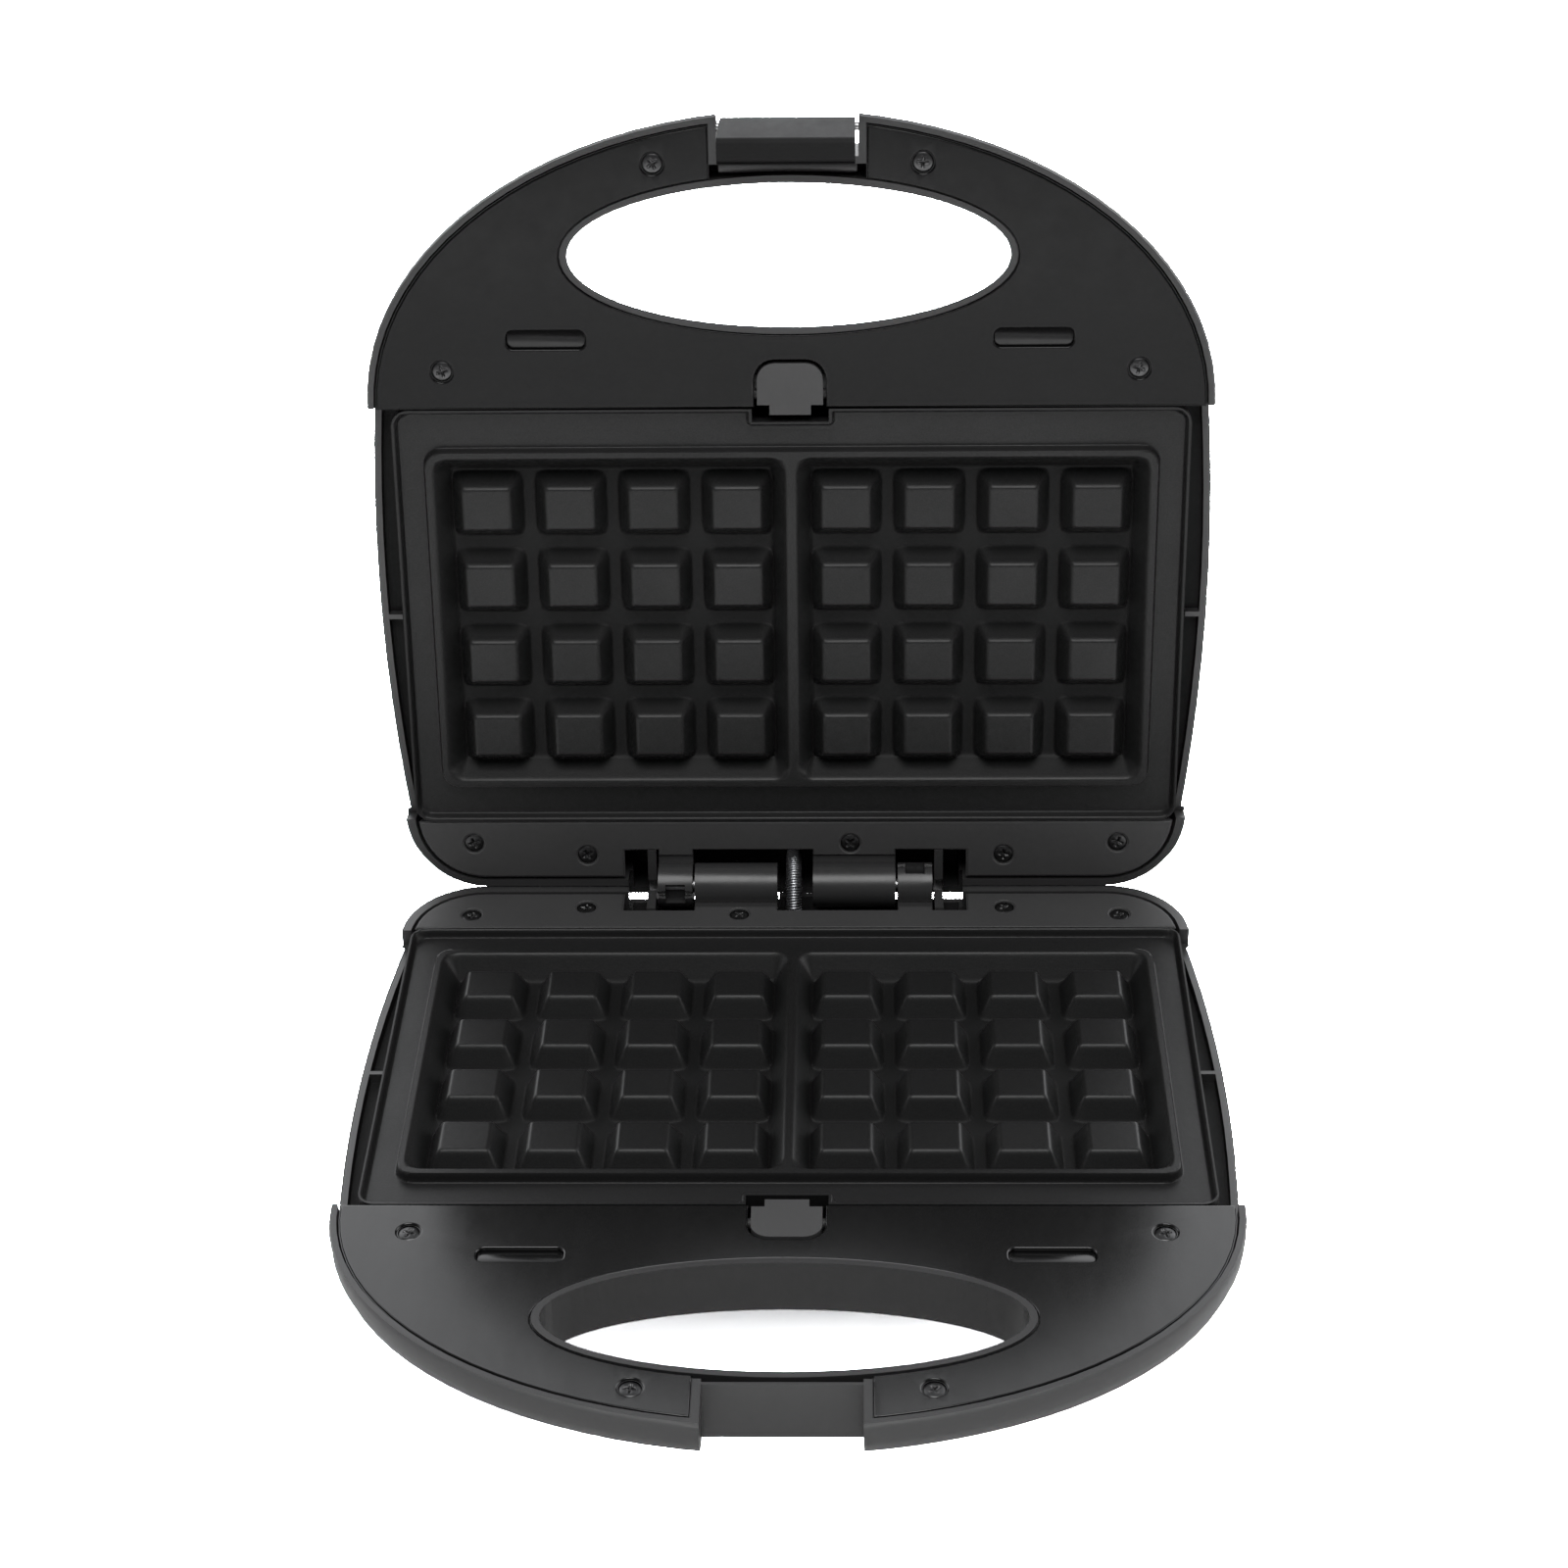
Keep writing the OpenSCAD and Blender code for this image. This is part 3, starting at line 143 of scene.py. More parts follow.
def plastic(name, dark, light, rough, grain, depth, specular=0.5):
    """Moulded plastic: a fine spark texture, a slow ripple from moulding and handling marks."""
    m, tree, bsdf = shader(name)
    slow = noise(tree, 22, 2)
    tree.links.new(tint(tree, spread(tree, slow, 0, 1), dark, light), bsdf.inputs["Base Color"])
    marks = noise(tree, 140, 5, 0.7, (1, 0.35, 1))
    tree.links.new(spread(tree, marks, rough[0], rough[1]), bsdf.inputs["Roughness"])
    bsdf.inputs["IOR"].default_value = PLASTIC_IOR
    bsdf.inputs["Specular IOR Level"].default_value = specular
    bumps(tree, bsdf, [(slow, 0.6, RIPPLE), (noise(tree, grain, 2), 0.6, depth)])
    return m


def coating(name, dark, light, rough):
    """Sprayed non-stick coat over cast aluminium: orange-peel grain with fine flecks.

    The mesh's "trough" attribute, 1 at the bottom of the grid, paints shade there with a darker
    colour and makes it duller.
    """
    m, tree, bsdf = shader(name)
    fleck = noise(tree, 2600, 2)
    slow = noise(tree, 30, 2)
    trough = tree.nodes.new("ShaderNodeAttribute")
    trough.attribute_name = "trough"
    # Painted shade: the bottom of the grid is mixed towards a near-black colour.
    trough_shade = tree.nodes.new("ShaderNodeMix")
    trough_shade.data_type = "RGBA"
    trough_shade.inputs[7].default_value = (*TROUGH_SHADE_COLOR, 1)
    tree.links.new(spread(tree, trough.outputs["Fac"], 0, TROUGH_SHADE_MIX, 0, 1), trough_shade.inputs[0])
    tree.links.new(tint(tree, spread(tree, fleck, 0, 1), dark, light), trough_shade.inputs[6])
    tree.links.new(trough_shade.outputs[2], bsdf.inputs["Base Color"])
    duller = tree.nodes.new("ShaderNodeMath")
    duller.operation = "MULTIPLY_ADD"
    duller.inputs[1].default_value = TROUGH_DULL
    tree.links.new(trough.outputs["Fac"], duller.inputs[0])
    tree.links.new(spread(tree, slow, rough[0], rough[1]), duller.inputs[2])
    tree.links.new(duller.outputs[0], bsdf.inputs["Roughness"])
    bsdf.inputs["IOR"].default_value = COAT_IOR
    bumps(tree, bsdf, [(noise(tree, 420, 3), 0.7, 40), (fleck, 0.8, 30)])
    return m


def metal(name, color, dull, rough, stretch=(1, 1, 1)):
    """Metal with a worn grain, which stretch draws out into brushing."""
    m, tree, bsdf = shader(name)
    worn = noise(tree, 500, 4, 0.6, stretch)
    tree.links.new(tint(tree, spread(tree, worn, 0, 1), color, dull), bsdf.inputs["Base Color"])
    tree.links.new(spread(tree, worn, rough[0], rough[1]), bsdf.inputs["Roughness"])
    bsdf.inputs["Metallic"].default_value = 1.0
    bumps(tree, bsdf, [(worn, 0.5, 10)])
    return m


def glassy(name, color, rough):
    """Clear or coloured plastic or glass with a slight haze."""
    m, tree, bsdf = shader(name)
    haze = noise(tree, 900, 3)
    deep = [c * 0.8 for c in color]
    tree.links.new(tint(tree, spread(tree, haze, 0, 1), color, deep), bsdf.inputs["Base Color"])
    tree.links.new(spread(tree, haze, rough, rough + 0.08), bsdf.inputs["Roughness"])
    bsdf.inputs["Transmission Weight"].default_value = 0.55
    bsdf.inputs["IOR"].default_value = LENS_IOR
    bumps(tree, bsdf, [(haze, 0.4, 10)])
    return m


def grey(v):
    return (v, v, v * 1.01)


# Roughness ranges stay on one side of 0.274: across it the denoiser leaves dark specks.
SHELL = plastic("shell_abs", grey(0.032), grey(0.036), (0.29, 0.37), 2200, 4)
# Painted shade: a darker, rougher copy of the shell plastic for the faces that line the side
# channels.
CHANNEL_SHADE = plastic("shell_channel_shade", grey(0.009), grey(0.012), (0.62, 0.72), 1600, 10, 0.2)
PANEL = plastic("panel_abs", grey(0.0048), grey(0.006), (0.15, 0.20), 2200, 2)
LID_PANEL = plastic("lid_panel_abs", grey(0.0048), grey(0.006), (0.16, 0.22), 2200, 2, 0.24)
STRIP = plastic("strip_abs", grey(0.044), grey(0.050), (0.50, 0.60), 1800, 16)
BUTTON = plastic("button_abs", grey(0.052), grey(0.060), (0.48, 0.58), 1800, 16)
CLIP = plastic("clip_abs", grey(0.012), grey(0.015), (0.56, 0.64), 2200, 6, 0.1)
COAT = coating("nonstick", grey(0.009), grey(0.015), (0.36, 0.44))
SCREW = metal("black_zinc_screw", grey(0.085), grey(0.06), (0.29, 0.38))
STEEL = metal("bright_steel", grey(0.62), grey(0.48), (0.29, 0.38))
SHEATH = metal("element_sheath", (0.30, 0.29, 0.28), (0.16, 0.15, 0.14), (0.34, 0.5))
ALU = metal("reflector_aluminium", (0.78, 0.79, 0.80), (0.66, 0.67, 0.68), (0.29, 0.40), (1, 12, 1))
SPRING = metal("plated_spring", (0.70, 0.71, 0.73), (0.50, 0.51, 0.53), (0.30, 0.42))
RUBBER = plastic("foot_rubber", grey(0.018), grey(0.026), (0.72, 0.82), 1500, 30)
CABLE = plastic("lead_sleeve", grey(0.016), grey(0.022), (0.50, 0.62), 2400, 10)
GLAND = plastic("gland_nylon", grey(0.010), grey(0.013), (0.42, 0.5), 1800, 10)
CERAMIC = plastic("terminal_ceramic", (0.66, 0.62, 0.54), (0.72, 0.68, 0.60), (0.36, 0.5), 1200, 20)
RED = glassy("lens_red", (0.55, 0.012, 0.010), 0.06)
GREEN = glassy("lens_green", (0.012, 0.42, 0.055), 0.06)
LAMP = glassy("lamp_glass", (0.86, 0.80, 0.70), 0.03)
PANELS = {"base": PANEL, "lid": LID_PANEL}


# ---------------------------------------------------------------- meshes
def piece(name, points, faces, half, body, material, slot, node=None, smooth=SHARP):
    """A new mesh, given in a half's millimetres, on a body, and in place of a CAD node if named."""
    m = HALVES[half]
    co = np.asarray(points, float) @ m[:3, :3].T + m[:3, 3]
    mesh = bpy.data.meshes.new(name)
    counts = np.array([len(f) for f in faces], np.int32)
    loops = np.concatenate([np.asarray(f, np.int32) for f in faces])
    mesh.vertices.add(len(co))
    mesh.vertices.foreach_set("co", co.astype(np.float32).ravel())
    mesh.loops.add(len(loops))
    mesh.loops.foreach_set("vertex_index", loops)
    mesh.polygons.add(len(counts))
    starts = np.concatenate([[0], np.cumsum(counts)[:-1]]).astype(np.int32)
    mesh.polygons.foreach_set("loop_start", starts)
    mesh.update(calc_edges=True)
    mesh.validate()
    mesh.shade_smooth()
    if smooth < 180:
        mesh.set_sharp_from_angle(angle=math.radians(smooth))
    mesh.materials.append(material)
    obj = bpy.data.objects.new(name, mesh)
    bpy.context.scene.collection.objects.link(obj)
    if body:
        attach(obj, body)
    if node:
        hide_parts(node)
    return obj


def weighted(obj):
    """Corner normals that follow the larger faces."""
    normals = obj.modifiers.new("normals", "WEIGHTED_NORMAL")
    normals.keep_sharp = True


def strips(rings):
    """Quads between rings of equal length."""
    faces = []
    for a, b in zip(rings[:-1], rings[1:]):
        n = len(a)
        faces += [(a[i], a[(i + 1) % n], b[(i + 1) % n], b[i]) for i in range(n)]
    return faces


def smin(a, b, k):
    """The smaller of two heights, with a fillet of width k where they meet."""
    h = np.maximum(k - np.abs(a - b), 0) / k
    return np.minimum(a, b) - h * h * k / 4


def smax(a, b, k):
    return -smin(-a, -b, k)


def round_box(x, y, hx, hy, r):
    """Signed distance to a rectangle with rounded corners."""
    qx, qy = np.abs(x) - (hx - r), np.abs(y) - (hy - r)
    return np.hypot(np.maximum(qx, 0), np.maximum(qy, 0)) + np.minimum(np.maximum(qx, qy), 0) - r


# The plate's outline and its sealing ridge: half width, reach forwards and backwards, radius or
# thickness; the notch for the release button: half width and depth.
PLATE_W, PLATE_F, PLATE_B, PLATE_R = 114.3, 66.0, 63.3, 5.0
RIDGE_W, RIDGE_F, RIDGE_B, RIDGE_T = 105.6, 53.7, 52.1, 2.2
NOTCH_W, NOTCH_D = 11.0, 3.8
RIDGE_Z, LIP_Z, GUTTER_Z = -0.9, -1.25, -3.8
RIM, RIM_IN, BUTTON_GAP = 0.85, 1.6, 1.0
EDGE_Z, UNDER_Z, BACK_Z, UNDER_R = -5.4, -5.8, -10.5, 0.4  # the skirt and the underside
PLATE_CY, PLATE_HY = (PLATE_B - PLATE_F) / 2, (PLATE_B + PLATE_F) / 2
TROUGH_Z, TROUGH_DEPTH = -4.6, 3.4  # where the painted shade on the grid's floor starts, and its fade


def plate_height(x, y):
    """Height of the plate's baking side, with cast fillets at every edge."""
    def frame_box(w, fwd, rear):
        return round_box(x, y - (rear - fwd) / 2, w, (fwd + rear) / 2, PLATE_R)

    ridge = frame_box(RIDGE_W, RIDGE_F, RIDGE_B)
    outer = frame_box(PLATE_W, PLATE_F, PLATE_B)
    notch = np.hypot(np.maximum(np.abs(x) - NOTCH_W, 0), np.maximum(y - (NOTCH_D - PLATE_F), 0))
    rim = np.minimum(-outer, notch)
    level = 0 * x  # makes a constant height into a field
    z = smax(GUTTER_Z + level, LIP_Z - 3.2 * (rim - RIM), 0.55)
    z = smin(z, LIP_Z + level, 0.45)
    hill = smin(RIDGE_Z + level, RIDGE_Z - 6 * (ridge + 0.25), 0.7)
    z = smax(z, hill, 0.7)
    in_x, out_x = RIDGE_T / 2, RIDGE_W - RIDGE_T
    fwd, rear = RIDGE_F - RIDGE_T, RIDGE_B - RIDGE_T
    draft = out_x - (MID_X / 2 + 3 * GAP_X + BLOCK_W / 2 + DRAFT)
    mould = round_box(np.abs(x) - (in_x + out_x) / 2, y - (rear - fwd) / 2,
                      (out_x - in_x) / 2, (fwd + rear) / 2, PLATE_R)
    wall = RIDGE_Z + (mould + 0.2) * (RIDGE_Z - FLOOR_Z) / draft
    basin = smax(wall, FLOOR_Z + level, 1.0)
    z = smin(z, np.where(mould > 3, 50.0, basin), 0.9)
    bx = np.abs(x) - MID_X / 2
    bx = bx - GAP_X * np.clip(np.round(bx / GAP_X), 0, 3)
    by = y / GAP_Y + 1.5
    by = (by - np.clip(np.round(by), 0, 3)) * GAP_Y
    slope = (TOP_Z - FLOOR_Z) / DRAFT
    dx, dy = np.abs(bx) - BLOCK_W / 2, np.abs(by) - BLOCK_L / 2
    side = smax(dx, dy, 0.9 + 0.85 * np.clip(np.maximum(dx, dy), 0, DRAFT))
    top = smin(TOP_Z + level, TOP_Z - slope * (side - 0.1), 1.3)
    return smax(z, top, 0.5)


def grid_lines(low, high, *groups, exact=()):
    """Sorted grid lines at the given values, no two too close together and no gap too wide."""
    values = {round(v, 4) for lines in groups for v in lines if low < v < high}
    values = sorted(values | {low, high} | set(exact))
    kept = [values[0]]
    for v in values[1:]:
        if v - kept[-1] < 0.16:
            if v in exact or v == high:
                if kept[-1] in exact:
                    kept.append(v)
                else:
                    kept[-1] = v
            continue
        n = max(1, math.ceil((v - kept[-1]) / 1.25 - 1e-6))
        step = (v - kept[-1]) / n
        kept += [kept[-1] + step * (i + 1) for i in range(n)]
    return np.array(kept)


def around(edges, offsets):
    """Each edge with a line at each offset on both sides of it."""
    return [e + s * o for e in edges for o in offsets for s in (-1, 1)]


def onto(x, y, hx, hy, r, cy=PLATE_CY):
    """Nearest point on a rounded rectangle's outline."""
    sx = np.clip(x, -(hx - r), hx - r)
    sy = np.clip(y - cy, -(hy - r), hy - r)
    dx, dy = x - sx, y - cy - sy
    n = np.maximum(np.hypot(dx, dy), 1e-9)
    return sx + dx / n * r, sy + cy + dy / n * r


def plate_grid():
    """The plate's grid lines, denser at every edge of the casting."""
    blocks_x = [s * (MID_X / 2 + i * GAP_X) for s in (-1, 1) for i in range(4)]
    blocks_y = [(j - 1.5) * GAP_Y for j in range(4)]
    near = [0.0, 0.22, 0.45, 0.7, 1.0, 1.6]
    foot = [0.0, 0.3, 0.65, 1.05, 1.6]
    rim = [0, 0.2, 0.4, 0.65, 1.0]
    tops_x = [c + s * BLOCK_W / 2 for c in blocks_x for s in (-1, 1)]
    tops_y = [c + s * BLOCK_L / 2 for c in blocks_y for s in (-1, 1)]
    feet_x = [c + s * (BLOCK_W / 2 + DRAFT) for c in blocks_x for s in (-1, 1)]
    feet_y = [c + s * (BLOCK_L / 2 + DRAFT) for c in blocks_y for s in (-1, 1)]
    rims_x = [s * v for s in (-1, 1)
              for v in (PLATE_W, PLATE_W - RIM, PLATE_W - RIM_IN, RIDGE_W, RIDGE_W - RIDGE_T,
                        RIDGE_T / 2, NOTCH_W, NOTCH_W + BUTTON_GAP)]
    rims_y = [-PLATE_F, RIM - PLATE_F, RIM_IN - PLATE_F,
              NOTCH_D - PLATE_F, NOTCH_D + BUTTON_GAP - PLATE_F, -RIDGE_F, RIDGE_T - RIDGE_F,
              RIDGE_B, RIDGE_B - RIDGE_T, PLATE_B, PLATE_B - RIM, PLATE_B - RIM_IN]
    xs = grid_lines(-PLATE_W, PLATE_W, around(tops_x, near), around(feet_x, foot),
                    around(rims_x, rim), exact=(-NOTCH_W, NOTCH_W))
    ys = grid_lines(-PLATE_F, PLATE_B, around(tops_y, near), around(feet_y, foot),
                    around(rims_y, rim), exact=(NOTCH_D - PLATE_F,))
    return xs, ys


def plate_underside(ring):
    """Rings of points that follow the plate's border down and under it."""
    x, y = ring[:, 0], ring[:, 1]
    skirt, foot = ring.copy(), ring.copy()
    skirt[:, 2], foot[:, 2] = EDGE_Z, UNDER_Z
    in_x, in_y = onto(x, y, PLATE_W - UNDER_R, PLATE_HY - UNDER_R, PLATE_R - UNDER_R)
    notch = np.abs(x) < NOTCH_W + 0.1
    foot[:, 0] = np.where(notch, x, in_x)
    foot[:, 1] = np.where(notch & (y < 0), y, in_y)
    rings = [skirt, foot]
    body_w, body_f, body_b = (v - 1.6 * RIDGE_T for v in (RIDGE_W, RIDGE_F, RIDGE_B))
    for z, less in ((UNDER_Z, 0.0), (BACK_Z, 0.0), (BACK_Z - UNDER_R, UNDER_R)):
        fwd, rear = body_f - less, body_b - less
        px, py = onto(x, y, body_w - less, (rear + fwd) / 2, PLATE_R - less, (rear - fwd) / 2)
        rings.append(np.stack([px, py, np.full(len(ring), z)], 1))
    return rings


def plate_mesh():
    """One waffle plate: a height field with a skirt and a closed underside."""
    gx, gy = np.meshgrid(*plate_grid())
    past = round_box(gx, gy - PLATE_CY, PLATE_W, PLATE_HY, PLATE_R)
    px, py = onto(gx, gy, PLATE_W, PLATE_HY, PLATE_R)
    vx, vy = np.where(past > -1e-6, px, gx), np.where(past > -1e-6, py, gy)
    points = np.stack([vx.ravel(), vy.ravel(), plate_height(vx, vy).ravel()], 1)
    ids = np.arange(gx.size).reshape(gx.shape)
    quads = np.stack([ids[:-1, :-1], ids[:-1, 1:], ids[1:, 1:], ids[1:, :-1]], -1).reshape(-1, 4)
    mid_x, mid_y = gx.ravel()[quads].mean(1), gy.ravel()[quads].mean(1)
    in_notch = (np.abs(mid_x) < NOTCH_W) & (mid_y < NOTCH_D - PLATE_F)
    quads = quads[~((past > 1e-6).ravel()[quads].all(1) | in_notch)]
    edges = {(q[i], q[(i + 1) % 4]) for q in quads.tolist() for i in range(4)}
    border = {a: b for a, b in edges if (b, a) not in edges}
    loop = [min(border)]
    while border[loop[-1]] != loop[0]:
        loop.append(border[loop[-1]])
    n = len(loop)
    rings = plate_underside(points[loop])
    faces = [tuple(q) for q in quads]
    prev = np.array(loop)
    for i in range(len(rings)):
        now = np.arange(n) + len(points) + i * n
        faces += [(prev[(k + 1) % n], prev[k], now[k], now[(k + 1) % n]) for k in range(n)]
        prev = now
    faces.append(tuple(prev[::-1]))
    points = np.concatenate([points] + rings)
    used = np.unique(np.concatenate([np.asarray(f) for f in faces]))
    remap = np.full(len(points), -1)
    remap[used] = np.arange(len(used))
    return points[used], [tuple(remap[list(f)]) for f in faces]


plate_points, plate_faces = plate_mesh()
for half in ("base", "lid"):
    plate = piece(f"{half}_waffle_plate", plate_points, plate_faces, half, f"{half}_plate", COAT,
                  "nonstick_plate", f"{half}_plate", smooth=60)
    # The trough attribute carries the painted shade on the grid's floor.
    trough = plate.data.attributes.new("trough", "FLOAT", "POINT")
    depth = np.clip((TROUGH_Z - plate_points[:, 2]) / TROUGH_DEPTH, 0, 1)
    trough.data.foreach_set("value", depth.astype(np.float32))


def tube(path, radius, sides):
    """Tube swept along points with a frame carried from ring to ring."""
    path = np.asarray(path, float)
    tangents = np.gradient(path, axis=0)
    tangents /= np.linalg.norm(tangents, axis=1)[:, None]
    side = np.cross(tangents[0], [1.0, 0.0, 0.0])
    if np.linalg.norm(side) < 1e-3:
        side = np.cross(tangents[0], [0.0, 1.0, 0.0])
    a = np.linspace(0, 2 * math.pi, sides, endpoint=False)
    points = []
    for p, t in zip(path, tangents):
        side = side - t * (side @ t)
        side /= np.linalg.norm(side)
        other = np.cross(t, side)
        points.append(p + radius * (np.cos(a)[:, None] * side + np.sin(a)[:, None] * other))
    rings = [range(i * sides, (i + 1) * sides) for i in range(len(path))]
    return np.concatenate(points), strips(rings) + [tuple(rings[0])[::-1], tuple(rings[-1])]


def joined(parts):
    """Several (points, faces) as one."""
    points, faces, base = [], [], 0
    for p, f in parts:
        points.append(np.asarray(p, float))
        faces += [tuple(i + base for i in face) for face in f]
        base += len(p)
    return np.concatenate(points), faces


# ---------------------------------------------------------------- screws
# The head's radius and thickness, its cross recess, and the radius and end of shank and tip
HEAD_R, HEAD_T, ARM, SLOT, RECESS = 2.9, 1.1, 1.55, 0.38, 0.8
SHANK_R, SHANK_END, TIP_R, TIP_END = 1.45, -9.6, 0.9, -10.1
HEAD_RINGS = [0.25, 0.5, 0.75, 1.0, 1.25, 1.5, 1.75, 2.0, 2.3, 2.55, 2.75, 2.86, HEAD_R]
PANEL_HEAD_Z, STRIP_HEAD_Z, REFLECTOR_HEAD_Z = -1.2, -1.9, -18.8


def head_height(r, x, y):
    """Height of a pan head at a radius and a place on its cross recess."""
    x, y = abs(x), abs(y)
    arm = min(max(x - ARM, y - (SLOT - 0.06 * x)), max(y - ARM, x - (SLOT - 0.06 * y)))
    cut = RECESS * (1 - min(max((arm + 0.14) / 0.28, 0), 1))
    dome = 0.34 * (1 - (r / HEAD_R) ** 2) - 0.34 - 0.28 * max(0, (r - 2.5) / 0.4) ** 2
    return dome - cut * max(0.0, 1 - r / 3)


def screw_mesh(turn, segments=48):
    """Pan head with a cross recess; the head's top at z 0, its seat at -HEAD_T."""
    angles = [2 * math.pi * k / segments for k in range(segments)]
    points = [(0.0, 0.0, -0.75)]
    for r in HEAD_RINGS:
        points += [(r * math.cos(a), r * math.sin(a),
                    head_height(r, r * math.cos(a - turn), r * math.sin(a - turn))) for a in angles]
    for r, z in ((HEAD_R, -1.0), (HEAD_R - 0.06, -HEAD_T), (SHANK_R, -HEAD_T),
                 (SHANK_R, SHANK_END), (TIP_R, TIP_END)):
        points += [(r * math.cos(a), r * math.sin(a), z) for a in angles]
    end = len(points)
    points.append((0.0, 0.0, TIP_END))
    rings = [range(first, first + segments) for first in range(1, end, segments)]
    faces = [(0, rings[0][k], rings[0][(k + 1) % segments]) for k in range(segments)]
    faces += [(b, a, d, c) for a, b, c, d in strips(rings)]
    faces += [(rings[-1][(k + 1) % segments], rings[-1][k], end) for k in range(segments)]
    return np.array(points, float), faces


def screw_set(name, half, places, top, material, node):
    """One group of screws, each turned a little further than the one before."""
    parts = []
    for i, (x, y) in enumerate(places):
        p, f = screw_mesh(0.35 + 0.9 * i)
        parts.append((p + np.array([x, y, top]), f))
    piece(name, *joined(parts), half, half, material, "screw_steel", node, smooth=40)


for half in ("base", "lid"):
    for kind, places, top, material in (("panel", PANEL_SCREWS, PANEL_HEAD_Z, SCREW),
                                        ("strip", STRIP_SCREWS, STRIP_HEAD_Z, SCREW),
                                        ("reflector", REFLECTOR_SCREWS, REFLECTOR_HEAD_Z, STEEL)):
        screw_set(f"{half}_{kind}_screw_heads", half, places, top, material,
                  f"{half}_{kind}_screws")


# ---------------------------------------------------------------- springs and the lead
def arc(cx, cy, r, a0, a1, n):
    """Points on an arc from a0 to a1 degrees."""
    angles = [math.radians(a0 + (a1 - a0) * i / n) for i in range(n + 1)]
    return [(cx + r * math.cos(a), cy + r * math.sin(a)) for a in angles]


def resampled(points, step):
    """Points at even steps along a line, and their lengths along it."""
    p = np.asarray(points, float)
    s = np.concatenate([[0], np.cumsum(np.linalg.norm(np.diff(p, axis=0), axis=1))])
    t = np.linspace(0, s[-1], max(2, int(s[-1] / step)) + 1)
    return np.stack([np.interp(t, s, p[:, i]) for i in range(p.shape[1])], 1), t


def flexible(name, mesh, half, material, slot, node):
    """A piece that runs from one body to the other, on neither of them, with its placing baked into
    its points.
    """
    made = piece(name, *mesh, half, None, material, slot, smooth=180)
    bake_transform(made)
    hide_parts(node)


# The wire guard, in the upright plane through the hinge: a bend of GUARD_R with a straight tail
# in each half, wound as one coil.
GUARD_X, GUARD_R, G_START, G_LOW, TAIL = -0.5, 16.0, 4.5, 12.5, 5.0
PITCH, COIL_R, WIRE_R = 0.74, 2.1, 0.345
BEND = arc(GUARD_R - G_START, -G_LOW, GUARD_R, 180, 90, 40)


def hinge_plane(points):
    """From the upright plane through the hinge to row millimetres."""
    p = np.asarray(points, float)
    return np.stack([np.full(len(p), GUARD_X), BACK + HINGE_Y + p[:, 0], PART_Z + p[:, 1]], 1)


def coiled(path, lengths):
    """A coil of wire around a path in the plane of the hinge."""
    line = hinge_plane(path)
    along = np.gradient(line, axis=0)
    along /= np.linalg.norm(along, axis=1)[:, None]
    across = np.tile([1.0, 0.0, 0.0], (len(along), 1))
    upward = np.cross(along, across)
    angle = (2 * math.pi * lengths / PITCH)[:, None]
    return tube(line + COIL_R * (np.cos(angle) * across + np.sin(angle) * upward), WIRE_R, 8)


guard_line = [(-G_START, -G_LOW - TAIL)] + BEND + [(GUARD_R - G_START + TAIL, GUARD_R - G_LOW)]
flexible("wire_guard_coil", coiled(*resampled(guard_line, 0.05)), "row", SPRING, "spring_steel",
         "wire_guard_spring")

# The lead runs inside the guard, and turns towards the terminal block in each half.
LEAD_R, TURN, LEAD_TAIL, LEAD_LOW, LID_RUN = 1.6, 8.0, 4.0, -30.0, 2.7
LID_DEPTH, LID_GAP = 18.5, 0.3
lid_end_y = GUARD_R - G_START + LID_RUN + TURN
lid_end_z = (LID_DEPTH + math.cos(OPEN) * lid_end_y) / math.sin(OPEN) - LID_GAP
lead_line = ([(-G_START - TURN - LEAD_TAIL, LEAD_LOW), (-G_START - TURN, LEAD_LOW)]
             + arc(-G_START - TURN, LEAD_LOW + TURN, TURN, 270, 360, 16)[1:] + BEND
             + arc(GUARD_R - G_START + LID_RUN, GUARD_R - G_LOW + TURN, TURN, 270, 360, 16)
             + [(lid_end_y, lid_end_z)])
lead_path = hinge_plane(resampled(lead_line, 0.7)[0])
flexible("hinge_lead_sleeve", tube(lead_path, LEAD_R, 16), "row", CABLE, "cable_rubber",
         "hinge_lead")

# A coil stands under each release button, closed and flat at both ends.
COIL_LOW, COIL_HIGH, COIL_Y, COIL_WIRE, COIL_TURNS = -12.2, -4.3, -76.0, 0.34, 6


def button_coil():
    """The spring of one release button, in its half's millimetres."""
    steps = COIL_TURNS * 24
    rows = []
    for i in range(steps + 1):
        t = i / steps
        first, last = min(t * COIL_TURNS, 1.0), min((1 - t) * COIL_TURNS, 1.0)
        rise = (t * COIL_TURNS - 0.5 * first + 0.5 * (1 - last)) / COIL_TURNS
        a = 2 * math.pi * COIL_TURNS * t
        z = COIL_LOW + COIL_WIRE + (COIL_HIGH - COIL_LOW - 2 * COIL_WIRE) * min(max(rise, 0), 1)
        rows.append((COIL_R * math.cos(a), COIL_R * math.sin(a), z))
    points, faces = tube(rows, COIL_WIRE, 8)
    return points + np.array([0, COIL_Y, 0]), faces


for half in ("base", "lid"):
    flexible(f"{half}_button_coil", button_coil(), half, SPRING, "spring_steel",
             f"{half}_button_spring")


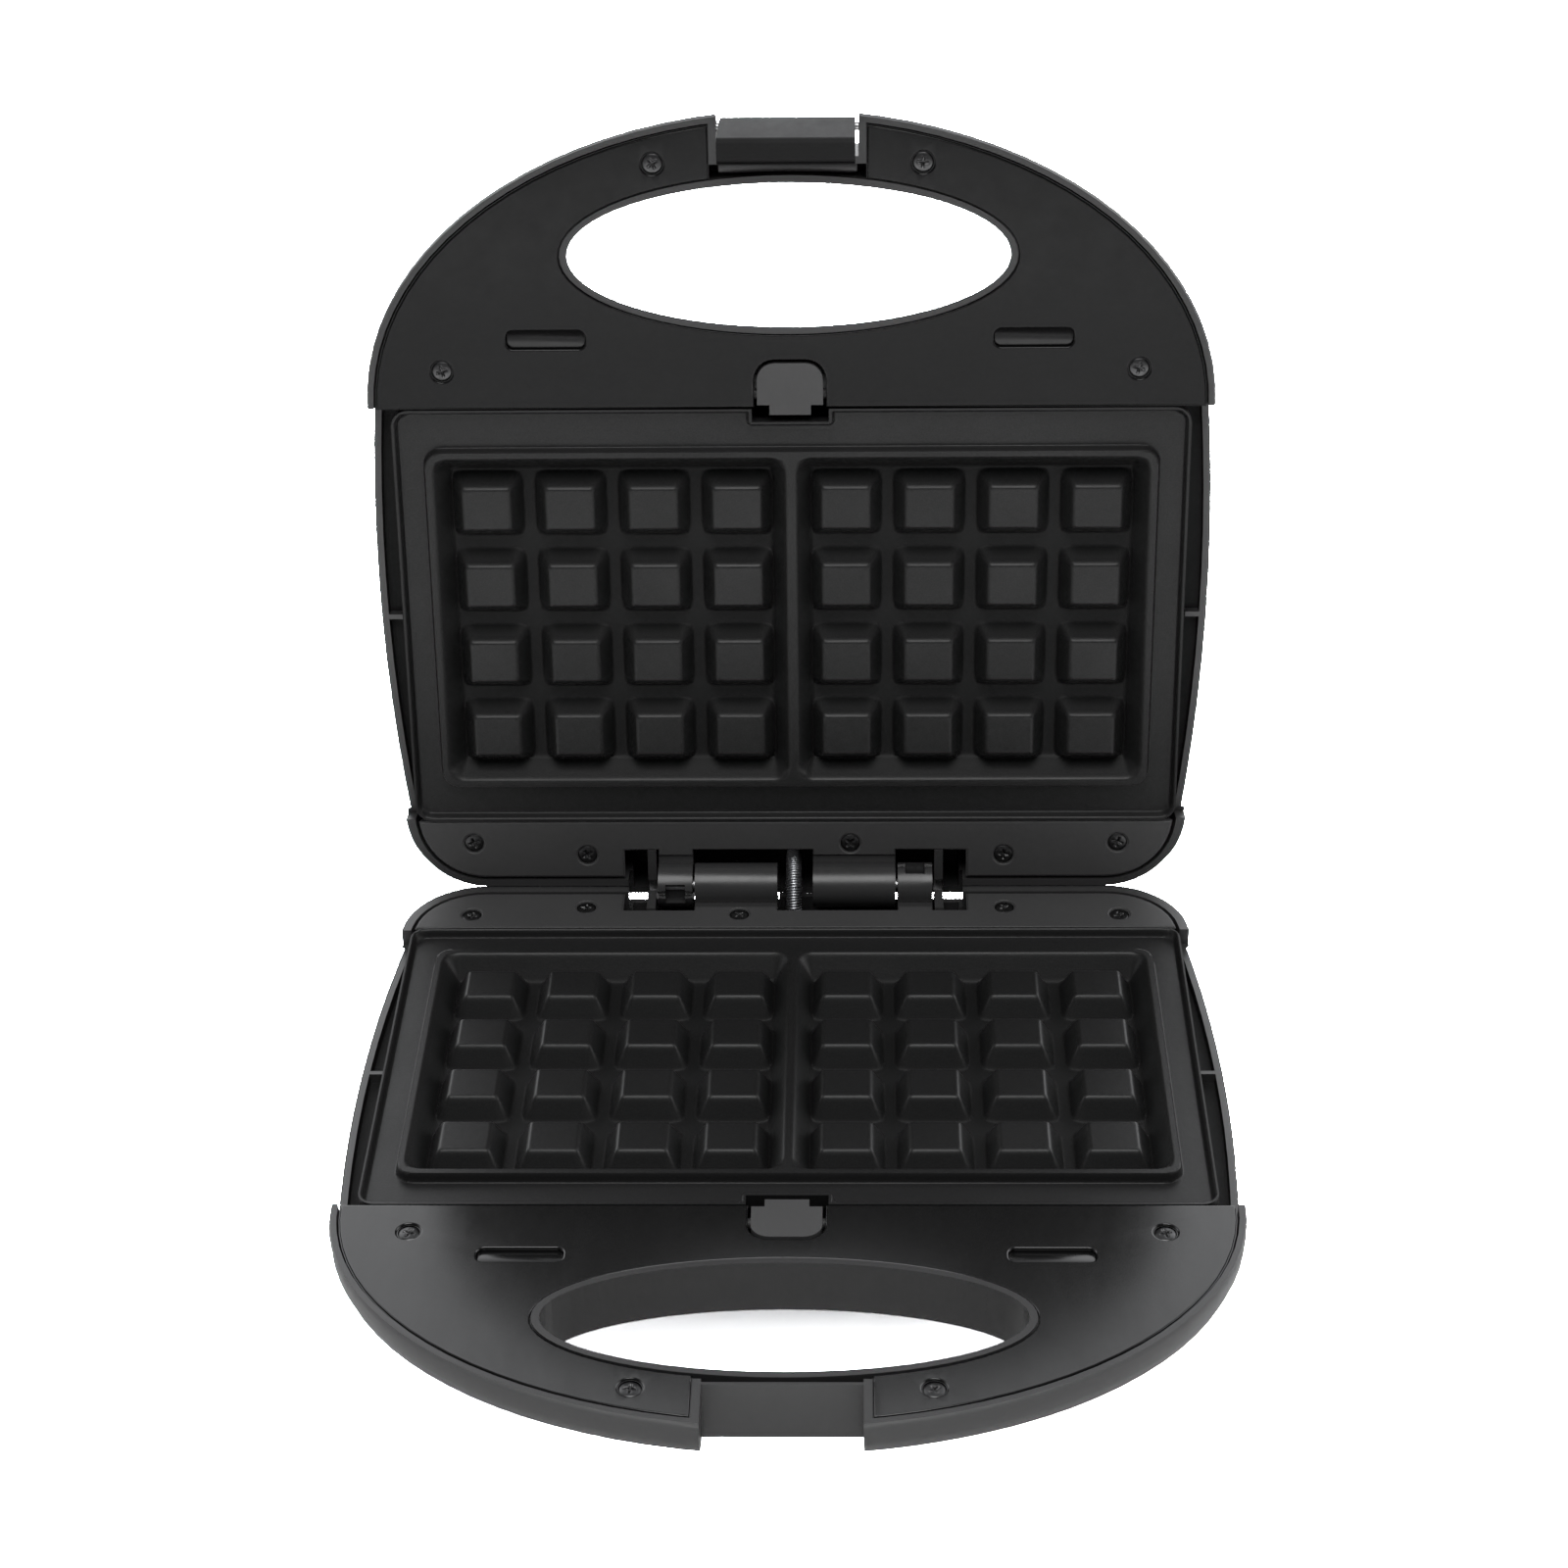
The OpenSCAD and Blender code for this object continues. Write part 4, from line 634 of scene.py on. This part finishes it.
# ---------------------------------------------------------------- CAD nodes kept, edges rounded
def smooth_group():
    """Geometry nodes that shade smooth up to the sharp angle."""
    group = bpy.data.node_groups.new("smooth_by_angle", "GeometryNodeTree")
    group.interface.new_socket("Geometry", in_out="INPUT", socket_type="NodeSocketGeometry")
    group.interface.new_socket("Geometry", in_out="OUTPUT", socket_type="NodeSocketGeometry")
    n = group.nodes
    given, result = n.new("NodeGroupInput"), n.new("NodeGroupOutput")
    faces, edges = n.new("GeometryNodeSetShadeSmooth"), n.new("GeometryNodeSetShadeSmooth")
    edges.domain = "EDGE"
    edges.inputs["Shade Smooth"].default_value = False
    angle, more = n.new("GeometryNodeInputMeshEdgeAngle"), n.new("FunctionNodeCompare")
    more.inputs[1].default_value = math.radians(SHARP)
    group.links.new(angle.outputs[0], more.inputs[0])
    group.links.new(given.outputs[0], faces.inputs["Geometry"])
    group.links.new(faces.outputs[0], edges.inputs["Geometry"])
    group.links.new(more.outputs[0], edges.inputs["Selection"])
    group.links.new(edges.outputs[0], result.inputs[0])
    return group


SMOOTH = smooth_group()


def dress(node, material, bevel):
    """Give a CAD node its material, smooth shading and edges rounded by bevel millimetres."""
    o = NODES[node]
    mesh = o.data
    if mesh.attributes.get("custom_normal"):
        mesh.attributes.remove(mesh.attributes["custom_normal"])
    mesh.materials.clear()
    mesh.materials.append(material)
    mesh.polygons.foreach_set("material_index", np.zeros(len(mesh.polygons), np.int32))
    weld = o.modifiers.new("weld", "WELD")
    weld.merge_threshold = WELD
    if bevel:
        mod = o.modifiers.new("edges", "BEVEL")
        mod.width = bevel * MM
        mod.segments = 2
        mod.limit_method = "ANGLE"
        mod.angle_limit = math.radians(32)
        mod.use_clamp_overlap = True
        mod.miter_outer = "MITER_ARC"
    shade = o.modifiers.new("shade", "NODES")
    shade.node_group = SMOOTH
    weighted(o)


for half in ("base", "lid"):
    dress(f"{half}_element", SHEATH, 0)
    dress(f"{half}_reflector", ALU, 0.2)
    dress(f"{half}_element_clips", ALU, 0.2)
    dress(f"{half}_release_button", BUTTON, 0.35)
    dress(f"{half}_terminal_block", CERAMIC, 0.5)
dress("thermostat", CERAMIC, 0.3)
dress("thermal_fuse", ALU, 0.1)
dress("cord_gland", GLAND, 0.4)
dress("hinge_pin_left", STEEL, 0.3)
dress("hinge_pin_right", STEEL, 0.3)
dress("latch_pin", STEEL, 0.2)
dress("power_lens", RED, 0.3)
dress("ready_lens", GREEN, 0.3)
dress("power_lamp", LAMP, 0.3)
dress("ready_lamp", LAMP, 0.3)
for name in ("front_left", "front_right", "rear_left", "rear_right"):
    dress(f"foot_{name}", RUBBER, 0.6)


# ---------------------------------------------------------------- mouldings made over CAD nodes
def inside(loops, x, y):
    """Even-odd test of points against closed outlines."""
    odd = np.zeros(len(x), bool)
    for loop in loops:
        for (ax, ay), (bx, by) in zip(loop, np.roll(loop, -1, axis=0)):
            if ay != by:
                odd ^= ((ay > y) != (by > y)) & (x < ax + (y - ay) * (bx - ax) / (by - ay))
    return odd


# The channels beside the plate: where they start from the middle, and their limits in z and y.
CHANNEL_X, CHANNEL_LOW, CHANNEL_TOP, CHANNEL_FWD, CHANNEL_REAR = 111.6, -12.6, -7.2, 67.0, 63.3
# The lip that closes the gap round a panel or strip: its reach and thickness, and its reach
# where it has to stay clear.
LIP_OUT, LIP_T, NO_LIP = 0.27, 0.25, 0.002
POCKET_X, POCKET_W, POCKET_FRONT, POCKET_REAR = 68.9, 11.2, -89.4, -84.1


def in_channel(corners):
    """Whether a face of the shell lines a side channel, from its corners in millimetres."""
    centre = corners.mean(0)
    normal = np.cross(corners[1] - corners[0], corners[2] - corners[0])
    normal /= max(np.linalg.norm(normal), 1e-12)
    outward = normal[0] * np.sign(centre[0])
    beside = (abs(centre[0]) > CHANNEL_X - 3 and CHANNEL_LOW < centre[2] < CHANNEL_TOP
              and -CHANNEL_FWD < centre[1] < CHANNEL_REAR)
    plate_side = outward > 0.5 and abs(centre[0]) < CHANNEL_X + 0.7
    return beside and (normal[2] > 0.9 or outward < -0.4 or plate_side)


def welded(node, half):
    """The node's points and triangles in the half's frame, with each triangle's normal."""
    o = NODES[node]
    mesh = o.data
    mesh.calc_loop_triangles()
    co = np.empty(len(mesh.vertices) * 3)
    mesh.vertices.foreach_get("co", co)
    tri = np.empty(len(mesh.loop_triangles) * 3, np.int32)
    mesh.loop_triangles.foreach_get("vertices", tri)
    to_half = np.linalg.inv(HALVES[half]) @ np.array(o.matrix_world)
    p = co.reshape(-1, 3) @ to_half[:3, :3].T + to_half[:3, 3]
    p, same = np.unique(np.round(p, 3), axis=0, return_inverse=True)
    tri = same.reshape(-1)[tri.reshape(-1, 3)]
    tri = tri[(tri[:, 0] != tri[:, 1]) & (tri[:, 1] != tri[:, 2]) & (tri[:, 0] != tri[:, 2])]
    normal = np.cross(p[tri[:, 1]] - p[tri[:, 0]], p[tri[:, 2]] - p[tri[:, 0]])
    size = np.linalg.norm(normal, axis=1)
    good = size > 1e-9
    return p, tri[good], normal[good] / size[good, None]


def outlines(tri):
    """Closed border loops of a group of triangles, as indices."""
    edges = {(t[i], t[(i + 1) % 3]) for t in tri.tolist() for i in range(3)}
    follow = {}
    for a, b in sorted(edges):
        if (b, a) not in edges:
            follow.setdefault(a, []).append(b)
    loops = []
    while follow:
        loop = [min(follow)]
        while True:
            here = loop[-1]
            step = follow[here].pop()
            if not follow[here]:
                del follow[here]
            if step == loop[0]:
                break
            loop.append(step)
        loops.append(np.array(loop))
    return loops


def inset(rim):
    """For each corner of an outline, the step that moves its edges one unit inwards."""
    along = np.roll(rim, -1, axis=0) - rim
    along /= np.linalg.norm(along, axis=1)[:, None]
    left = np.stack([-along[:, 1], along[:, 0]], 1)
    before = np.roll(left, 1, axis=0)
    return (left + before) / np.maximum(1 + (left * before).sum(1), 0.35)[:, None]


def flat_cover(rings, total, top):
    """Triangles over flat outlines, given as (outline, indices), and the points they add."""
    edges, base = [], 0
    for ring, _ in rings:
        n = len(ring)
        edges += [(base + i, base + (i + 1) % n) for i in range(n)]
        base += n
    ids = np.concatenate([i for _, i in rings])
    corners = [Vector(v) for ring, _ in rings for v in ring]
    verts, _, cells, origin, _, _ = delaunay_2d_cdt(corners, edges, [], 0, 1e-5)
    number, extra = [], []
    for v, source in zip(verts, origin):
        if source:
            number.append(int(ids[source[0]]))
        else:
            number.append(total + len(extra))
            extra.append((v[0], v[1], top))
    flat = np.array([tuple(v) for v in verts])
    middle = np.array([flat[list(c)].mean(0) for c in cells])
    faces = []
    for cell, good in zip(cells, inside([r for r, _ in rings], middle[:, 0], middle[:, 1])):
        if good:
            a, b, c = (flat[i] for i in cell)
            left_turn = (b[0] - a[0]) * (c[1] - a[1]) - (b[1] - a[1]) * (c[0] - a[0]) > 0
            ring = [number[i] for i in cell]
            faces.append(tuple(ring if left_turn else ring[::-1]))
    return faces, extra


def filleted(node, name, half, material, slot, radius, shade_lining=None, seal=None):
    """The node's mesh with its top face's edges rounded, and a thin lip where seal() says so."""
    p, tri, normal = welded(node, half)
    level = p[tri].mean(1)[:, 2]
    upward = normal[:, 2] > 0.9995
    top = level[upward].max()
    face = upward & (np.abs(level - top) < 0.01)
    points, faces, last, total = [p], [tuple(t) for t in tri[~face].tolist()], [], len(p)
    for rim in outlines(tri[face]):
        flat = p[rim, :2]
        miter = inset(flat)
        p[rim, 2] = top - radius
        steps = []
        if seal:
            p[rim, 2] -= LIP_T
            reach = np.where(seal(flat[:, 0], flat[:, 1]), LIP_OUT, NO_LIP)[:, None]
            steps += [(flat - miter * reach, top - radius - LIP_T),
                      (flat - miter * reach, top - radius), (flat, top - radius)]
        for a in (math.pi / 8 * k for k in range(1, 5)):
            steps.append((flat + miter * radius * (1 - math.cos(a)),
                          top - radius * (1 - math.sin(a))))
        rings = [rim]
        for ring, z in steps:
            points.append(np.column_stack([ring, np.full(len(rim), z)]))
            rings.append(np.arange(len(rim)) + total)
            total += len(rim)
        faces += strips(rings)
        last.append((steps[-1][0], rings[-1]))
    cover, extra = flat_cover(last, total, top)
    faces += cover
    if extra:
        points.append(np.array(extra))
    points = np.concatenate(points)
    made = piece(name, points, faces, half, half, material, slot, node)
    # Faces that line the side channels take the darker copy of the shell plastic: painted shade.
    if shade_lining and len(made.data.polygons) == len(faces):
        made.data.materials.append(shade_lining)
        lined = [int(in_channel(points[list(f)])) for f in faces]
        made.data.polygons.foreach_set("material_index", np.array(lined, np.int32))
    weighted(made)


def panel_seal(x, y):
    """The panel's lip stays clear of the finger pockets and the release button."""
    pocket = ((np.abs(np.abs(x) - POCKET_X) < 12)
              & (np.abs(y - (POCKET_FRONT + POCKET_REAR) / 2) < 4.5))
    return ~pocket & ~((np.abs(x) < 17) & (y > -82))


def strip_seal(x, y):
    """The strip's lip runs along its outer parts, and round the screw beside the hinge."""
    screw_x, screw_y = STRIP_SCREWS[-1]
    return (np.abs(x) > 48) | (np.hypot(x - screw_x, y - screw_y) < 4)


for half in ("base", "lid"):
    filleted(f"{half}_shell", f"{half}_shell_moulding", half, SHELL, "shell_plastic", 0.6,
             shade_lining=CHANNEL_SHADE)
    filleted(f"{half}_handle_panel", f"{half}_panel_moulding", half, PANELS[half],
             "panel_plastic", 0.5, seal=panel_seal)
    filleted(f"{half}_hinge_strip", f"{half}_strip_moulding", half, STRIP, "strip_plastic", 0.4,
             seal=strip_seal)


def round_slab(low, high, bottom, top, r, corner=0.8):
    """A slab between two corners, round in plan, with its upper edge rounded."""
    (x0, y0), (x1, y1) = low, high
    mid_x, mid_y = (x0 + x1) / 2, (y0 + y1) / 2
    hx, hy = (x1 - x0) / 2 - corner, (y1 - y0) / 2 - corner
    points, rings, n = [], [], 24
    for less, z in ((0, bottom), (0, top - r), (0.3 * r, top - 0.3 * r), (r, top)):
        rings.append(range(len(points), len(points) + n))
        for k in range(n):
            a = 2 * math.pi * (k + 0.5) / n
            x, y = math.cos(a), math.sin(a)
            points.append((mid_x + math.copysign(hx, x) + (corner - less) * x,
                           mid_y + math.copysign(hy, y) + (corner - less) * y, z))
    return points, strips(rings) + [tuple(rings[0])[::-1], tuple(rings[-1])]


def rounded_bar(node, name, body, material, slot, radius):
    """The node's mesh with its long edges across the object rounded."""
    work = bmesh.new()
    work.from_mesh(NODES[node].data)
    work.transform(NODES[node].matrix_world)
    bmesh.ops.remove_doubles(work, verts=work.verts, dist=WELD)
    bmesh.ops.dissolve_limit(work, angle_limit=math.radians(0.5), verts=work.verts,
                             edges=work.edges)
    across = [e for e in work.edges
              if len(e.link_faces) == 2 and abs(e.verts[0].co.x - e.verts[1].co.x) > 30 * MM
              and e.calc_face_angle() > math.radians(50)]
    bmesh.ops.bevel(work, geom=across, offset=radius * MM, segments=6, profile=0.5,
                    affect="EDGES", clamp_overlap=False)
    bmesh.ops.triangulate(work, faces=work.faces)
    work.verts.index_update()
    points = np.array([v.co for v in work.verts]) / MM
    faces = []
    for face in work.faces:
        ring = [v.index for v in face.verts]
        first = ring.index(min(ring))
        faces.append(tuple(ring[first:] + ring[:first]))
    work.free()
    # sorted, because the dissolve leaves the faces in an order that changes from run to run
    weighted(piece(name, points, sorted(faces), "row", body, material, slot, node))


for half in ("base", "lid"):
    floors = [round_slab((side * POCKET_X - POCKET_W, POCKET_FRONT),
                         (side * POCKET_X + POCKET_W, POCKET_REAR), -3.2, -1.95, 0.15, 2.0)
              for side in (-1, 1)]
    piece(f"{half}_pocket_floors", *joined(floors), half, half, PANELS[half], "panel_plastic")
slot_floor = round_slab((-19.3, -136.4), (19.3, -133.6), -4.2, -3.0, 0.4)
piece("lid_slot_floor", *slot_floor, "lid", "lid", SHELL, "shell_plastic")
rounded_bar("latch_clip", "latch_clip_moulding", "latch", CLIP, "clip_plastic", 1.9)


# ---------------------------------------------------------------- surroundings
SKY = (0.97, 0.98, 1.0, 1)
SKY_BEHIND, SKY_LEAST = 2.3, 0.12  # strength behind the object and all round
FLOOR_R, FLOOR_DROP, FLOOR_GREY, FLOOR_SEEN = 6.0, 0.0002, 0.86, 34.0


def camera_mix(tree, other, seen, out):
    """Show one shader to the camera and the other to all other rays."""
    mix = tree.nodes.new("ShaderNodeMixShader")
    path = tree.nodes.new("ShaderNodeLightPath")
    tree.links.new(path.outputs["Is Camera Ray"], mix.inputs[0])
    tree.links.new(other.outputs[0], mix.inputs[1])
    tree.links.new(seen.outputs[0], mix.inputs[2])
    tree.links.new(mix.outputs[0], out.inputs[0])


def studio_world():
    """White to the camera; to the object a soft light that is brighter behind and low down."""
    world = bpy.data.worlds.new("studio")
    bpy.context.scene.world = world
    world.use_nodes = True
    tree = world.node_tree
    tree.nodes.clear()
    out = tree.nodes.new("ShaderNodeOutputWorld")
    soft = tree.nodes.new("ShaderNodeBackground")
    white = tree.nodes.new("ShaderNodeBackground")
    soft.inputs[0].default_value = SKY
    where = tree.nodes.new("ShaderNodeTexCoord")
    axes = tree.nodes.new("ShaderNodeSeparateXYZ")
    tree.links.new(where.outputs["Generated"], axes.inputs[0])
    glow = tree.nodes.new("ShaderNodeMath")
    glow.operation = "MULTIPLY_ADD"
    tree.links.new(spread(tree, axes.outputs["Y"], 0.0, SKY_BEHIND, 0.0, 0.5), glow.inputs[0])
    tree.links.new(spread(tree, axes.outputs["Z"], 1.0, 0.10, 0.62, 0.85), glow.inputs[1])
    glow.inputs[2].default_value = SKY_LEAST
    tree.links.new(glow.outputs[0], soft.inputs[1])
    white.inputs[0].default_value = (1, 1, 1, 1)
    white.inputs[1].default_value = 1.0
    camera_mix(tree, soft, white, out)


def studio_floor():
    """A pale floor that shows white and keeps the object's shadow."""
    r = FLOOR_R
    floor = bpy.data.meshes.new("floor")
    floor.from_pydata([(-r, -r, 0), (r, -r, 0), (r, r, 0), (-r, r, 0)], [], [(0, 1, 2, 3)])
    m = bpy.data.materials.new("floor")
    m.use_nodes = True
    tree = m.node_tree
    tree.nodes.clear()
    out = tree.nodes.new("ShaderNodeOutputMaterial")
    lit, seen = (tree.nodes.new("ShaderNodeBsdfDiffuse") for _ in range(2))
    lit.inputs[0].default_value = (FLOOR_GREY, FLOOR_GREY, FLOOR_GREY, 1)
    seen.inputs[0].default_value = (FLOOR_SEEN, FLOOR_SEEN, FLOOR_SEEN, 1)
    camera_mix(tree, lit, seen, out)
    floor.materials.append(m)
    obj = bpy.data.objects.new("floor", floor)
    bpy.context.scene.collection.objects.link(obj)
    obj.location.z = -FLOOR_DROP


def area(name, location, target, size_x, size_y, power):
    """A rectangular light at a place, facing a target."""
    light = bpy.data.lights.new(name, "AREA")
    light.shape = "RECTANGLE"
    light.size, light.size_y = size_x, size_y
    light.energy = power
    obj = bpy.data.objects.new(name, light)
    bpy.context.scene.collection.objects.link(obj)
    obj.location = location
    obj.rotation_mode = "QUATERNION"
    obj.rotation_quaternion = (Vector(location) - Vector(target)).to_track_quat("Z", "Y")


studio_world()
studio_floor()
area("top", (0, -0.55, 1.5), (0, 0, 0.1), 0.9, 0.9, 15)
area("card", (0, -0.33, 0.02), (0, -0.33, 1.0), 1.0, 0.24, 1.75)  # near, for the base's front
area("far_card", (0, -1.7, 0.02), (0, -1.7, 1.0), 1.6, 0.7, 7.0)  # far, for the lid's underside
area("left", (-1.4, 0.1, 0.6), (0, 0, 0.12), 1.0, 1.0, 1.6)
area("right", (1.4, 0.1, 0.6), (0, 0, 0.12), 1.0, 1.0, 5)

# The camera as solved from the photograph's straight edges and block grid
LENS, SENSOR = 73.75, 36.0
PLACE = (0.0186, -0.7240, 0.5855)
DOWN, YAW, ROLL = math.radians(31.83), math.radians(1.52), math.radians(-0.94)

cam = bpy.data.cameras.new("camera")
cam.lens, cam.sensor_width, cam.sensor_fit = LENS, SENSOR, "HORIZONTAL"
cam.clip_start, cam.clip_end = 0.05, 30
camera = bpy.data.objects.new("camera", cam)
bpy.context.scene.collection.objects.link(camera)
forward = Vector((-math.sin(YAW) * math.cos(DOWN), math.cos(YAW) * math.cos(DOWN), -math.sin(DOWN)))
level_right = Vector((math.cos(YAW), math.sin(YAW), 0))
level_up = level_right.cross(forward)
right = math.cos(ROLL) * level_right + math.sin(ROLL) * level_up
up = math.cos(ROLL) * level_up - math.sin(ROLL) * level_right
turn = Matrix((right, up, -forward)).transposed().to_4x4()
camera.matrix_world = Matrix.Translation(PLACE) @ turn
bpy.context.scene.camera = camera
bpy.context.scene.view_settings.view_transform = "Standard"
